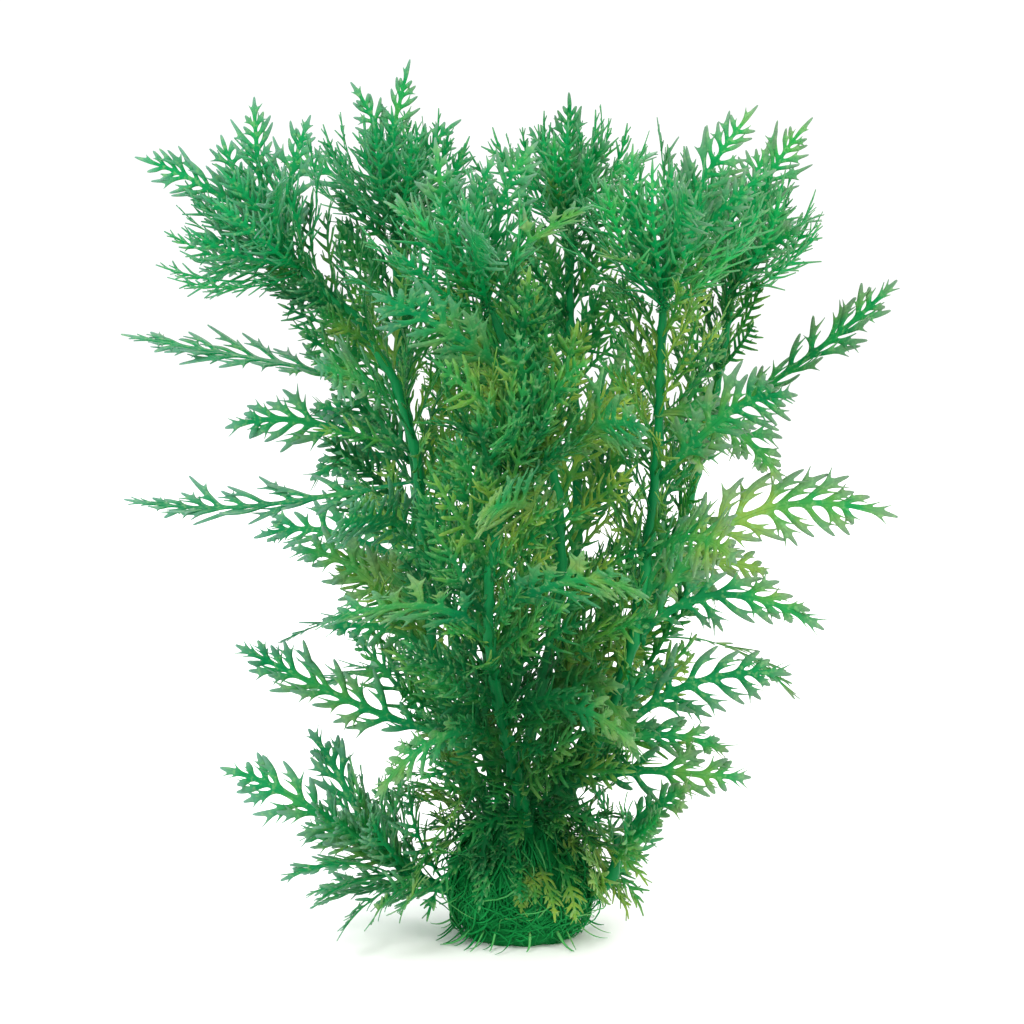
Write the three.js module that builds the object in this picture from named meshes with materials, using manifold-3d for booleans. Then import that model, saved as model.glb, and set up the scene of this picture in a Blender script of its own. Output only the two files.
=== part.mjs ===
// Water wisteria: a rooted bunch of feather-leaved stems that stands on its own matted roots.
// Millimetres, +Z up. The origin is the middle of the flat underside of the roots, and the front faces -Y.
// Ten stems fan out of the root mass. They carry grown leaves, cut into lobes along a midrib. The eight
// tall ones also bear pairs of smaller leaves, which are one with the stem, and end in a crown of young
// leaves. Leaves give way to one another, so no two of them cross.
import * as THREE from "three";
import { mergeVertices } from "three/addons/utils/BufferGeometryUtils.js";
import Module from "manifold-3d";

const wasm = await Module();
wasm.setup();
const { Manifold, Mesh: SolidMesh } = wasm;

// Driving dimensions
const GAP = 0.35;

// Height and radius up the root mass, from the foot to the top that the stems stand on
const ROOT_PROFILE = [[0, 20], [4.5, 21.2], [15, 22.5], [27, 21.2], [34, 18], [36, 17]];
const ROOT_BUNDLES = 12;
const BUNDLE_RELIEF = 1.5;

const STEM_FOOT_RADIUS = 2.3;
const STEM_TIP_RADIUS = 1.3;
const STEM_SIDES = 4;
const TALL_STEM_RINGS = 8;
const SHORT_STEM_RINGS = 4;

const BUD_LENGTH = 7;
const BUD_SEAT = 3;
const BUD_RADII = [1.4, 2.2, 1.7, 0.5];

const PETIOLE_SHARE = 0.16;
const BLADE_END = 0.92;
const PETIOLE_HALF_WIDTH = 0.95;
const NOTCH_HALF_WIDTH = 1.5;
const MIDRIB_HEIGHT = 1.3;
const LEAF_TAPER = 0.55;
const LEAF_HALF_WIDTH_SHARE = 0.26;
const LOBE_LEAN = THREE.MathUtils.degToRad(38);
const LOBE_SPACING = 9;
const LOBE_CROWDING = 1.25;
const FEWEST_LOBES = 4;
const CROWN_LEAF_ARCH_SHARE = 0.08;
const SHARED_BASE_VOLUME = 6;

// The smaller leaves, from a tall stem's foot to its tip. An angle is the lean away from the stem.
const SMALL_PAIRS = 8;
const SMALL_SHARES = [0.09, 0.94];
const SMALL_LENGTHS = [56, 36];
const SMALL_LEANS = [66, 36].map(THREE.MathUtils.degToRad);
const SMALL_HALF_WIDTH_SHARE = 0.19;
const SMALL_WIDEST = 0.42;
const SMALL_MIDRIB_HEIGHT = 1.5;
const PAIR_STAGGER = 0.3;

// What a smaller leaf tries until it is clear: shares of its length, sides of the stem, and leans
const SMALL_CUTS = [1, 0.88, 0.76, 0.64];
const SIDE_STEPS = [0, 1, -1];
const SMALL_TILTS = [0, 8, -8, 16, -16, 24, -24].map(THREE.MathUtils.degToRad);

// The leafy body that the smaller leaves keep inside: height, half its width, half its depth
const BODY = [[24, 34, 40], [60, 50, 72], [100, 56, 90], [150, 64, 94], [190, 80, 94], [225, 82, 82],
  [248, 66, 60]];

// How far a leaf may stand off its stem and turn at its base to stay clear of what is already in place
const STAND_OFFS = [0.4, 0.7, 1, 1.3];
const NUDGE_STEP = THREE.MathUtils.degToRad(5);
const NUDGE_RINGS = 9;
const NUDGES_PER_RING = 8;
const WIDTHS = [1, 0.85, 0.7];

const ROOT_BROWN = 0x27402a;
const STEM_GREEN = 0x1d6b38;
const LEAF_GREEN = 0x2f8f45;
const CROWN_GREEN = 0x5aa846;

const LEVEL = new THREE.Vector3(0, 0, 1);

// The ways that a blade's upper side looks
const UP = [0, 0, 1];
const FRONT = [0, -0.9, 0.45];
const FRONT_AND_UP = [0, -0.6, 0.8];
const NEARLY_UP = [0, -0.42, 0.9];
const LEFT = [-0.7, -0.2, 0.7];
const RIGHT = [0.7, -0.2, 0.7];

// Each stem: the points it passes, foot to tip. Its leaves: [height of the base, tip, how far the middle of
// the midrib bulges from the straight line, the way the upper side looks]. Its crown: [tip of leaf, looks].
const STEMS = {
  left: {
    rings: TALL_STEM_RINGS,
    route: [[-9, -3, 36.4], [-17.5, -6, 59], [-25, -9, 79], [-28, -11, 103], [-29, -12, 127],
      [-31, -13, 151], [-38, -14, 172], [-50, -15, 190], [-64, -16, 202]],
    leaves: [
      [139, [-117, -12, 134], [0, 0, -4], NEARLY_UP],
      [165, [-116, -20, 183], [0, 0, 2], NEARLY_UP],
      [63, [-85, -8, 90], [0, 0, -2], FRONT_AND_UP],
      [98, [-73, 8, 88], [0, 0, 4], UP],
      [90, [-59, -34, 129], [-6, -3, 4], FRONT],
      [118, [-50, -78, 134], [0, 0, 6], LEFT],
      [154, [-56, -72, 176], [0, 0, 6], RIGHT],
    ],
    crown: [
      [[-111, -22, 234], FRONT], [[-94, -34, 209], FRONT], [[-95, 0, 196], UP],
      [[-89, -6, 241], FRONT], [[-76, -26, 251], FRONT], [[-62, 2, 247], FRONT],
      [[-66, -60, 226], LEFT],
    ],
  },
  left_back: {
    rings: TALL_STEM_RINGS,
    route: [[-5, 8, 36.4], [-14, 18, 66], [-24, 27, 100], [-32, 33, 135], [-37, 35, 170],
      [-38, 34, 200], [-38.5, 33, 212]],
    leaves: [
      [143, [-91.5, 30, 152], [0, 0, 6], FRONT],
      [108, [-86, 62, 114], [0, 0, 6], LEFT],
      [74, [-68, 58, 64], [0, 0, 6], UP],
      [165, [-62, 88, 184], [0, 0, 6], RIGHT],
    ],
    crown: [
      [[-51.6, 26, 258], FRONT], [[-27.3, 22, 263], FRONT], [[-18, 34, 247], FRONT],
      [[-45, 76, 243], RIGHT], [[-76, 52, 236], LEFT], [[-14, 66, 232], UP],
    ],
  },
  centre_left: {
    rings: TALL_STEM_RINGS,
    route: [[-2, -7, 36.4], [3, -14, 64], [9, -20, 91], [12, -24, 118], [10, -27, 142],
      [4, -29, 163], [-4, -31, 180], [-9, -32, 191]],
    leaves: [
      [77, [-26, -42, 60], [0, 0, 9], UP],
      [83, [34, -46, 62], [0, 0, 9], UP],
      [125, [-28, -86, 138], [0, 0, 6], LEFT],
      [146, [34, -84, 160], [0, 0, 6], RIGHT],
      [166, [-40, -76, 196], [0, 0, 4], LEFT],
    ],
    crown: [
      [[-24, -40, 239], FRONT], [[-7, -48, 234], FRONT], [[5, -36, 238], FRONT],
      [[-38, -52, 221], FRONT], [[-10, -84, 212], RIGHT], [[20, -58, 220], UP],
    ],
  },
  middle_back: {
    rings: TALL_STEM_RINGS,
    route: [[3, 9, 36.4], [11, 18, 67], [17, 27, 103], [18, 33, 139], [16.5, 36, 172],
      [15, 36, 200], [15, 35, 212]],
    leaves: [
      [94, [56, 82, 92], [0, 0, 7], RIGHT],
      [124, [2, 96, 134], [0, 0, 6], LEFT],
      [152, [48, 90, 168], [0, 0, 6], RIGHT],
      [178, [-2, 86, 208], [0, 0, 5], LEFT],
    ],
    crown: [
      [[15, 28, 255], FRONT], [[4, 42, 246], FRONT], [[27, 20, 240], FRONT],
      [[14, 80, 240], RIGHT], [[44, 62, 238], UP], [[-10, 50, 238], LEFT],
    ],
  },
  right: {
    rings: TALL_STEM_RINGS,
    route: [[9, -4, 36.4], [23, -8, 59], [32, -12, 85], [37, -15, 115], [40, -17, 145],
      [41, -18, 172], [41.5, -18, 191]],
    leaves: [
      [95, [110, -24, 130], [-11, -3, 16], FRONT_AND_UP],
      [60, [80, -20, 83], [-4, -2, 8], FRONT],
      [160, [75, -34, 141], [3, 0, 5], FRONT],
      [49, [68, -24, 53], [0, 0, 3], FRONT],
      [118, [58, -84, 124], [0, 0, 6], LEFT],
      [142, [76, -64, 168], [0, 0, 6], RIGHT],
    ],
    crown: [
      [[22, -26, 228], FRONT], [[40, -8, 246], FRONT], [[54, -24, 254], FRONT],
      [[72, -38, 230], FRONT], [[46, -66, 224], RIGHT], [[22, -46, 206], UP],
    ],
  },
  right_back: {
    rings: TALL_STEM_RINGS,
    route: [[10, 4, 36.4], [26, 13, 67], [43, 22, 103], [55, 27, 139], [61, 28, 166],
      [64, 28, 185], [65, 27, 193]],
    leaves: [
      [156, [115, 20, 198], [0, 0, -3], NEARLY_UP],
      [106, [78, 34, 106], [0, 0, 5], FRONT_AND_UP],
      [88, [88, 46, 64], [0, 0, 8], UP],
      [138, [66, 92, 150], [0, 0, 6], RIGHT],
    ],
    crown: [
      [[88.5, 18, 247], FRONT], [[66, 26, 242], FRONT], [[78, 42, 240], FRONT],
      [[84, 4, 214], FRONT], [[96, 50, 218], UP], [[58, 72, 228], LEFT],
    ],
  },
  front: {
    rings: TALL_STEM_RINGS,
    route: [[2, -12, 36.4], [-3, -30, 61], [-8, -42, 88], [-9, -48, 115], [-5, -50, 135],
      [-2, -51, 146]],
    leaves: [
      [70, [-40, -76, 58], [0, 0, 7], UP],
      [74, [32, -78, 72], [0, 0, 7], UP],
      [100, [-54, -88, 108], [0, 0, 6], LEFT],
      [106, [34, -94, 116], [0, 0, 6], RIGHT],
    ],
    crown: [
      [[-1, -62, 186], FRONT], [[-24, -70, 178], FRONT], [[19, -72, 178], FRONT],
      [[-6, -94, 158], LEFT], [[-30, -56, 160], UP],
    ],
  },
  back: {
    rings: TALL_STEM_RINGS,
    route: [[-1, 14, 36.4], [-6, 32, 61], [-12, 46, 88], [-14, 54, 115], [-12, 57, 140],
      [-10, 57, 158]],
    leaves: [
      [72, [-50, 80, 62], [0, 0, 7], UP],
      [78, [28, 86, 66], [0, 0, 7], UP],
      [106, [-60, 92, 116], [0, 0, 6], LEFT],
    ],
    crown: [
      [[-10, 72, 200], RIGHT], [[-32, 82, 188], LEFT], [[14, 86, 188], RIGHT],
      [[-8, 104, 170], UP], [[16, 64, 184], RIGHT],
    ],
  },
  low_left: {
    rings: SHORT_STEM_RINGS,
    route: [[-23.5, -4, 15], [-29, -5, 17], [-36, -7, 22], [-42, -8, 29]],
    leaves: [
      [28, [-89.4, -14, 54], [2, 0, 2], FRONT],
      [25, [-64.5, 6, 62], [-3, 0, 3], FRONT],
      [20, [-70, -32, 24], [0, 0, 5], UP],
    ],
    crown: [],
  },
  low_right: {
    rings: SHORT_STEM_RINGS,
    route: [[22.6, -6.5, 14], [26, -9, 17], [28.5, -11, 24], [29, -12, 33]],
    leaves: [
      [31, [50, -26, 51], [0, 0, 3], FRONT],
    ],
    crown: [],
  },
};

const vector = (xyz) => new THREE.Vector3(...xyz);

// A closed geometry as a solid that can be joined and measured.
function solidOf(geometry) {
  const bare = new THREE.BufferGeometry();
  bare.setAttribute("position", geometry.getAttribute("position"));
  bare.setIndex(geometry.index);
  const merged = mergeVertices(bare, 1e-3);
  return new Manifold(
    new SolidMesh({
      numProp: 3,
      vertProperties: merged.getAttribute("position").array,
      triVerts: new Uint32Array(merged.index.array),
    }),
  );
}

function geometryOf(solid) {
  const { vertProperties, triVerts, numProp } = solid.getMesh();
  const geometry = new THREE.BufferGeometry();
  geometry.setAttribute("position", new THREE.BufferAttribute(vertProperties, numProp));
  geometry.setIndex(new THREE.BufferAttribute(triVerts, 1));
  return geometry;
}

function facets(points, triangles) {
  return new THREE.BufferGeometry().setFromPoints(points).setIndex(triangles);
}

// A closed skin over rings of points, each anticlockwise as seen from the last ring's side.
function skin(rings) {
  const sides = rings[0].length;
  const last = (rings.length - 1) * sides;
  const triangles = [];
  for (let start = 0; start < last; start += sides) {
    for (let k = 0; k < sides; k++) {
      const a = start + k;
      const b = start + ((k + 1) % sides);
      triangles.push(a, b, b + sides, a, b + sides, a + sides);
    }
  }
  for (let k = 1; k + 1 < sides; k++) {
    triangles.push(0, k + 1, k);
    triangles.push(last, last + k, last + k + 1);
  }
  return facets(rings.flat(), triangles);
}

// A ring of points about a centre, square to the direction along.
function ring(centre, along, sides, reachOf) {
  const across = new THREE.Vector3(1, 0, 0).addScaledVector(along, -along.x).normalize();
  const other = new THREE.Vector3().crossVectors(along, across);
  return Array.from({ length: sides }, (_, k) => {
    const angle = (k / sides) * Math.PI * 2;
    return centre
      .clone()
      .addScaledVector(across, reachOf(k) * Math.cos(angle))
      .addScaledVector(other, reachOf(k) * Math.sin(angle));
  });
}

// The root mass: bundles of roots side by side, fullest above the foot, flat underneath and on top.
function rootMass() {
  return skin(ROOT_PROFILE.map(([height, radius]) =>
    ring(new THREE.Vector3(0, 0, height), LEVEL, ROOT_BUNDLES * 2, (k) => radius - (k % 2) * BUNDLE_RELIEF)));
}

const stemRadius = (share) => THREE.MathUtils.lerp(STEM_FOOT_RADIUS, STEM_TIP_RADIUS, share);

// A stem: a tapering shoot along its route. A tall one ends level where it stands on the roots.
function stemAlong(route, rings) {
  return skin(Array.from({ length: rings + 1 }, (_, i) => {
    const share = i / rings;
    const level = i === 0 && rings === TALL_STEM_RINGS;
    const along = level ? LEVEL : route.getTangentAt(share);
    return ring(route.getPointAt(share), along, STEM_SIDES, () => stemRadius(share));
  }));
}

// The share of a route's length at which it reaches a height.
function shareAtHeight(route, height) {
  let [low, high] = [0, 1];
  for (let i = 0; i < 20; i++) {
    const middle = (low + high) / 2;
    if (route.getPointAt(middle).z < height) low = middle;
    else high = middle;
  }
  return low;
}

// How far the lobes reach, from the blade's first pair to its last, as a share of the leaf's half width.
const lobeReach = (u) => Math.sin(Math.PI * (0.2 + 0.7 * u)) ** 0.8;

// A leaf: a midrib from base to tip that bulges in its middle, and a lobe on either side between stations.
// Its section is a flat triangle: the midrib stands up in the middle, and the lobes' edges are sharp.
function leafShape({ base, tip, bulge, looks, width }) {
  const chord = tip.clone().sub(base);
  const halfWidth = chord.length() * LEAF_HALF_WIDTH_SHARE * width;
  const bladeLength = chord.length() * (BLADE_END - PETIOLE_SHARE);
  const lobes = Math.max(FEWEST_LOBES, Math.round(bladeLength / LOBE_SPACING));
  const sectionAt = (s) => {
    const centre = base.clone().addScaledVector(chord, s).addScaledVector(bulge, 4 * s * (1 - s));
    const along = chord.clone().addScaledVector(bulge, 4 * (1 - 2 * s)).normalize();
    const normal = looks.clone().addScaledVector(along, -looks.dot(along)).normalize();
    return { centre, along, normal, side: new THREE.Vector3().crossVectors(normal, along) };
  };
  const stations = [0];
  for (let i = 0; i <= lobes; i++) {
    const crowded = 1 - (1 - i / lobes) ** LOBE_CROWDING;
    stations.push(THREE.MathUtils.lerp(PETIOLE_SHARE, BLADE_END, crowded));
  }

  // Each station has three corners: midrib, left and right. The notches lean forward with the lobes.
  const points = stations.flatMap((s, i) => {
    const { centre, along, normal, side } = sectionAt(s);
    const taper = 1 - LEAF_TAPER * s;
    const half = i < 2 ? PETIOLE_HALF_WIDTH : NOTCH_HALF_WIDTH * taper;
    const forward = i < 2 ? 0 : half * Math.tan(LOBE_LEAN);
    const edge = centre.clone().addScaledVector(along, forward);
    return [
      centre.clone().addScaledVector(normal, MIDRIB_HEIGHT * taper),
      edge.clone().addScaledVector(side, half),
      edge.clone().addScaledVector(side, -half),
    ];
  });
  const end = points.length - 3;
  const point = points.push(tip) - 1;

  // The right half mirrors the left, so its faces turn round
  const triangles = [0, 1, 2, end + 1, point, end + 2];
  for (let left = 1; left < end; left += 3) {
    triangles.push(left, left + 3, left + 4, left, left + 4, left + 1);
  }
  for (const hand of [1, -1]) {
    const face = (a, b, c) => triangles.push(a, ...(hand > 0 ? [b, c] : [c, b]));
    const edgeCorner = hand > 0 ? 1 : 2;
    for (let i = 0; i + 1 < stations.length; i++) {
      const [top, edge] = [3 * i, 3 * i + edgeCorner];
      if (i === 0) {
        face(top, top + 3, edge + 3);
        face(top, edge + 3, edge);
        continue;
      }
      const reach = halfWidth * lobeReach((i - 1) / (lobes - 1));
      const { centre, along, side } = sectionAt((stations[i] + stations[i + 1]) / 2);
      const lobe = points.push(centre
        .addScaledVector(side, hand * reach * Math.cos(LOBE_LEAN))
        .addScaledVector(along, reach * Math.sin(LOBE_LEAN))) - 1;
      face(top, top + 3, lobe);
      face(top + 3, edge + 3, lobe);
      face(top, lobe, edge);
      face(edge, lobe, edge + 3);
    }
    face(end, point, end + edgeCorner);
  }
  return facets(points, triangles);
}

// A smaller leaf: a plain blade that widens from a point inside the stem and narrows to its tip, flat
// below, with the midrib standing up where it is widest.
function smallLeafShape({ base, chord, looks }) {
  const along = chord.clone().normalize();
  const normal = looks.clone().addScaledVector(along, -looks.dot(along)).normalize();
  const side = new THREE.Vector3().crossVectors(normal, along);
  const half = chord.length() * SMALL_HALF_WIDTH_SHARE;
  const middle = base.clone().addScaledVector(chord, SMALL_WIDEST);
  const midrib = middle.clone().addScaledVector(normal, SMALL_MIDRIB_HEIGHT);
  const left = middle.clone().addScaledVector(side, half);
  const right = middle.clone().addScaledVector(side, -half);
  const tip = base.clone().add(chord);
  return facets([base, midrib, left, right, tip], [0, 1, 2, 0, 3, 1, 0, 2, 3, 4, 2, 1, 4, 1, 3, 4, 3, 2]);
}

const plant = new THREE.Group();
const placed = [];

// Keeps a solid's room, so that the later ones stay clear of it.
function hold(name, solid) {
  placed.push({ name, solid, box: solid.boundingBox() });
}

// Puts a finished piece in the plant, with its own origin where it is fastened.
function put(name, colour, origin, solid) {
  hold(name, solid);
  const geometry = geometryOf(solid).translate(-origin.x, -origin.y, -origin.z);
  const material = new THREE.MeshStandardMaterial({ color: colour, roughness: 0.5, metalness: 0 });
  const mesh = new THREE.Mesh(geometry, material);
  mesh.name = name;
  mesh.position.copy(origin);
  plant.add(mesh);
}

const boxesApart = (a, b) =>
  [0, 1, 2].some((k) => a.min[k] > b.max[k] + GAP || b.min[k] > a.max[k] + GAP);

// Whether a solid has room among what is placed. What it grows from, if named, may touch it.
function isClear(solid, ownStem) {
  const box = solid.boundingBox();
  return placed.every((other) => other.name === ownStem || boxesApart(box, other.box)
    || solid.minGap(other.solid, GAP) > 0.9 * GAP);
}

// The turns that a leaf tries at its base, smallest first: [to the side, up or down].
const NUDGES = [[0, 0]];
for (let size = 1; size <= NUDGE_RINGS; size++) {
  for (let k = 0; k < NUDGES_PER_RING; k++) {
    const angle = (k / NUDGES_PER_RING) * Math.PI * 2;
    NUDGES.push([size * NUDGE_STEP * Math.cos(angle), size * NUDGE_STEP * Math.sin(angle)]);
  }
}

function turned({ base, tip, bulge, looks, width }, [sideways, upward]) {
  const chord = tip.clone().sub(base);
  const across = new THREE.Vector3().crossVectors(chord, LEVEL).normalize();
  const turn = new THREE.Quaternion().setFromAxisAngle(LEVEL, sideways);
  turn.multiply(new THREE.Quaternion().setFromAxisAngle(across, upward));
  return {
    base,
    tip: chord.applyQuaternion(turn).add(base),
    bulge: bulge.clone().applyQuaternion(turn),
    looks: looks.clone().applyQuaternion(turn),
    width,
  };
}

// A leaf's solid, turned as little as keeps it clear. The bases are tried in their order at each turn.
function settled(name, leaf, bases, isFree = isClear) {
  for (const width of WIDTHS) {
    for (const nudge of NUDGES) {
      for (const base of bases) {
        const solid = solidOf(leafShape(turned({ ...leaf, base, width }, nudge)));
        if (isFree(solid)) return { solid, base };
        solid.delete();
      }
    }
  }
  throw new Error(`${name} finds no room`);
}

// A grown leaf starts just off the surface of its stem, on the side that it leaves by.
function putStemLeaf(name, route, [height, tip, bulge, looks]) {
  const share = shareAtHeight(route, height);
  const centre = route.getPointAt(share);
  const along = route.getTangentAt(share);
  const outward = vector(tip).sub(centre);
  outward.addScaledVector(along, -outward.dot(along)).normalize();
  const bases = STAND_OFFS.map((off) => centre.clone().addScaledVector(outward, stemRadius(share) + off));
  const leaf = { tip: vector(tip), bulge: vector(bulge), looks: vector(looks) };
  const { solid, base } = settled(name, leaf, bases);
  put(name, LEAF_GREEN, base, solid);
}

// A crown is one growth: the bud at the stem's end and the young leaves that open from it.
function putCrown(name, route, rows) {
  const along = route.getTangentAt(1);
  const above = (distance) => route.getPointAt(1).addScaledVector(along, GAP + distance);
  const bud = skin(BUD_RADII.map((radius, i) =>
    ring(above((BUD_LENGTH * i) / (BUD_RADII.length - 1)), along, STEM_SIDES, () => radius)));
  const leaves = [];
  const isFree = (solid) =>
    isClear(solid) && leaves.every((leaf) => solid.intersect(leaf).volume() < SHARED_BASE_VOLUME);
  for (const [tip, looks] of rows) {
    const base = above(BUD_SEAT);
    const chord = vector(tip).sub(base);
    const arch = along.clone().projectOnPlane(chord.clone().normalize()).normalize();
    const bulge = arch.multiplyScalar(chord.length() * CROWN_LEAF_ARCH_SHARE);
    const leaf = { tip: vector(tip), bulge, looks: vector(looks) };
    leaves.push(settled(name, leaf, [base], isFree).solid);
  }
  put(name, CROWN_GREEN, above(0), Manifold.union([solidOf(bud), ...leaves]));
}

function isInBody({ x, y, z }) {
  const row = BODY.findIndex(([height]) => height > z);
  if (row < 1) return false;
  const [[low, ...start], [high, ...end]] = [BODY[row - 1], BODY[row]];
  const [halfWidth, halfDepth] = start.map((reach, k) =>
    THREE.MathUtils.lerp(reach, end[k], (z - low) / (high - low)));
  return Math.hypot(x / halfWidth, y / halfDepth) < 1;
}

// A smaller leaf on a side of its stem, or nothing where it finds no room. Its petiole starts in the stem.
function smallLeaf(name, route, share, side) {
  const centre = route.getPointAt(share);
  const stemWay = route.getTangentAt(share);
  const outward = centre.clone().setZ(0).normalize().multiplyScalar(0.9).add(LEVEL.clone().multiplyScalar(0.5));
  const length = THREE.MathUtils.lerp(...SMALL_LENGTHS, share);
  for (const cut of SMALL_CUTS) {
    for (const tilt of SMALL_TILTS) {
      for (const step of SIDE_STEPS) {
        const lean = THREE.MathUtils.lerp(...SMALL_LEANS, share) + tilt;
        const out = new THREE.Vector3(1, 0, 0).projectOnPlane(stemWay).normalize();
        out.applyAxisAngle(stemWay, ((side + step + 0.5) / STEM_SIDES) * Math.PI * 2);
        const base = centre.clone().addScaledVector(out, -0.5 * stemRadius(share));
        const chord = stemWay.clone().multiplyScalar(Math.cos(lean)).addScaledVector(out, Math.sin(lean))
          .multiplyScalar(length * cut);
        if (!isInBody(base.clone().add(chord))) continue;
        const solid = solidOf(smallLeafShape({ base, chord, looks: outward }));
        if (isClear(solid, `stem_${name}`)) return solid;
        solid.delete();
      }
    }
  }
  return null;
}

// The smaller leaves of a tall stem, in nearly opposite pairs, each pair turned from the one below it.
function smallLeaves(name, route, firstSide) {
  const leaves = [];
  for (let pair = 0; pair < SMALL_PAIRS; pair++) {
    for (const second of [0, 1]) {
      const share = THREE.MathUtils.lerp(...SMALL_SHARES, (pair + PAIR_STAGGER * second) / SMALL_PAIRS);
      const leaf = smallLeaf(name, route, share, firstSide + pair + (second * STEM_SIDES) / 2);
      if (leaf) {
        hold(`small_${name}`, leaf);
        leaves.push(leaf);
      }
    }
  }
  return leaves;
}

put("roots", ROOT_BROWN, new THREE.Vector3(), solidOf(rootMass()));

const shoots = Object.entries(STEMS).map(([name, stem]) => ({
  ...stem,
  name,
  route: new THREE.CatmullRomCurve3(stem.route.map(vector), false, "centripetal"),
}));
for (const shoot of shoots) {
  shoot.stem = solidOf(stemAlong(shoot.route, shoot.rings));
  hold(`stem_${shoot.name}`, shoot.stem);
}

// The leaves that face the front take their places first, so they turn the least
const FORWARD = [FRONT, FRONT_AND_UP, NEARLY_UP];
const grown = shoots.flatMap(({ name, route, leaves }) => leaves.map((row, i) =>
  ({ name: `leaf_${name}_${i + 1}`, route, row, first: FORWARD.includes(row.at(-1)) })));
for (const { name, route, row } of grown.filter((leaf) => leaf.first)) {
  putStemLeaf(name, route, row);
}
for (const { name, route, crown } of shoots.filter((shoot) => shoot.crown.length > 0)) {
  putCrown(`crown_${name}`, route, crown);
}
for (const { name, route, row } of grown.filter((leaf) => !leaf.first)) {
  putStemLeaf(name, route, row);
}
for (const [i, { name, route, stem, crown }] of shoots.entries()) {
  const leaves = crown.length > 0 ? smallLeaves(name, route, i) : [];
  put(`stem_${name}`, STEM_GREEN, route.getPointAt(0), Manifold.union([stem, ...leaves]));
}

export default plant;
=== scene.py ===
# %% [markdown]
# # A bunch of water wisteria
# Water wisteria grows under water as soft stems with leaves cut almost to the midrib, like feathers.
# This lesson dresses the plain solids of one rooted bunch: every solid says where a root mass, a stem
# or a leaf is, and each one is replaced by a piece with the real outline, thickness and colour.

# %% Load the solids
import math
import random
from functools import partial

import bmesh
import bpy
from mathutils import Matrix, Quaternion, Vector
from mathutils.bvhtree import BVHTree


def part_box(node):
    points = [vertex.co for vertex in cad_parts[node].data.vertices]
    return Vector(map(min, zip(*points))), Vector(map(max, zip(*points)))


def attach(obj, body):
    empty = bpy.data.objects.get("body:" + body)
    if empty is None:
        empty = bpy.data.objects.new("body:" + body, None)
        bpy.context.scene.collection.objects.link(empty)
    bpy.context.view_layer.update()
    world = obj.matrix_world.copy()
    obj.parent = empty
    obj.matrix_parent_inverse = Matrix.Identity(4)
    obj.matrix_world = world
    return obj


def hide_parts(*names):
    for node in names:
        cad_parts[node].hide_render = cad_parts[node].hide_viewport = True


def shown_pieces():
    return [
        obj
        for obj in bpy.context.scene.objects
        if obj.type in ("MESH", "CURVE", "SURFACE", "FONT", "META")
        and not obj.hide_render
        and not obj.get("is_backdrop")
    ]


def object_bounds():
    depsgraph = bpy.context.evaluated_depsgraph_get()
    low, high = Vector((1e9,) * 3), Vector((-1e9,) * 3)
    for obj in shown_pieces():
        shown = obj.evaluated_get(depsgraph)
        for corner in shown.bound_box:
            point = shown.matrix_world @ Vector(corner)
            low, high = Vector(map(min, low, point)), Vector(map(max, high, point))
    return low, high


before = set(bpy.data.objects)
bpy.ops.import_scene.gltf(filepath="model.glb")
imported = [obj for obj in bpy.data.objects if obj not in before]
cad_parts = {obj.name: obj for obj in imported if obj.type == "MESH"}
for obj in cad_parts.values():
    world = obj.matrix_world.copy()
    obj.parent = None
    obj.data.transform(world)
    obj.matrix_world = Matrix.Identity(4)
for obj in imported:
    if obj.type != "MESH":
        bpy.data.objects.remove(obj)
SOLIDS_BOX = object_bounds()
MM = 0.001
UP = Vector((0, 0, 1))
FULL_TURN = 2 * math.pi
FOOT_LOW, FOOT_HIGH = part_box("roots")
FOOT_MIDDLE = (FOOT_LOW + FOOT_HIGH) / 2
LEAF_NODES, STEM_NODES, CROWN_NODES = (
    sorted(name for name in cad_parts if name.startswith(kind)) for kind in ("leaf_", "stem_", "crown_")
)
print("solids:", len(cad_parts), "height in mm:", round((SOLIDS_BOX[1].z - SOLIDS_BOX[0].z) / MM))

# %% [markdown]
# ## Camera
# The bunch is seen from the front, almost level, from well back, so that near and far leaves keep
# nearly the same scale. The lens follows from the distance and from how wide a strip the frame holds.

# %% Camera
CAMERA_DISTANCE = 0.80
CAMERA_ELEVATION = math.radians(6)
CAMERA_AIM = Vector((-0.0024, 0.0, 0.129))
FRAME_WIDTH = 0.3072
SENSOR_WIDTH = 36.0


def add_camera():
    data = bpy.data.cameras.new("camera")
    data.sensor_width = SENSOR_WIDTH
    data.lens = SENSOR_WIDTH * CAMERA_DISTANCE / FRAME_WIDTH
    camera = bpy.data.objects.new("camera", data)
    bpy.context.scene.collection.objects.link(camera)
    back = Vector((0, -math.cos(CAMERA_ELEVATION), math.sin(CAMERA_ELEVATION)))
    camera.location = CAMERA_AIM + back * CAMERA_DISTANCE
    camera.rotation_euler = (-back).to_track_quat("-Z", "Y").to_euler()
    bpy.context.scene.camera = camera
    return camera


camera = add_camera()
print("lens in mm:", round(camera.data.lens, 1))

# %% [markdown]
# ## Colours and nodes
# Colours are written as a painter reads them off a screen, and Blender's sockets want them linear.
# One helper adds any node and gives back its output, so a material reads from top to bottom.

# %% Colour and node helpers


def linear(hex_colour):
    """An sRGB hex colour as linear RGBA."""
    channels = [int(hex_colour[i:i + 2], 16) / 255 for i in (1, 3, 5)]
    return tuple(c / 12.92 if c <= 0.04045 else ((c + 0.055) / 1.055) ** 2.4 for c in channels) + (1.0,)


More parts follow.
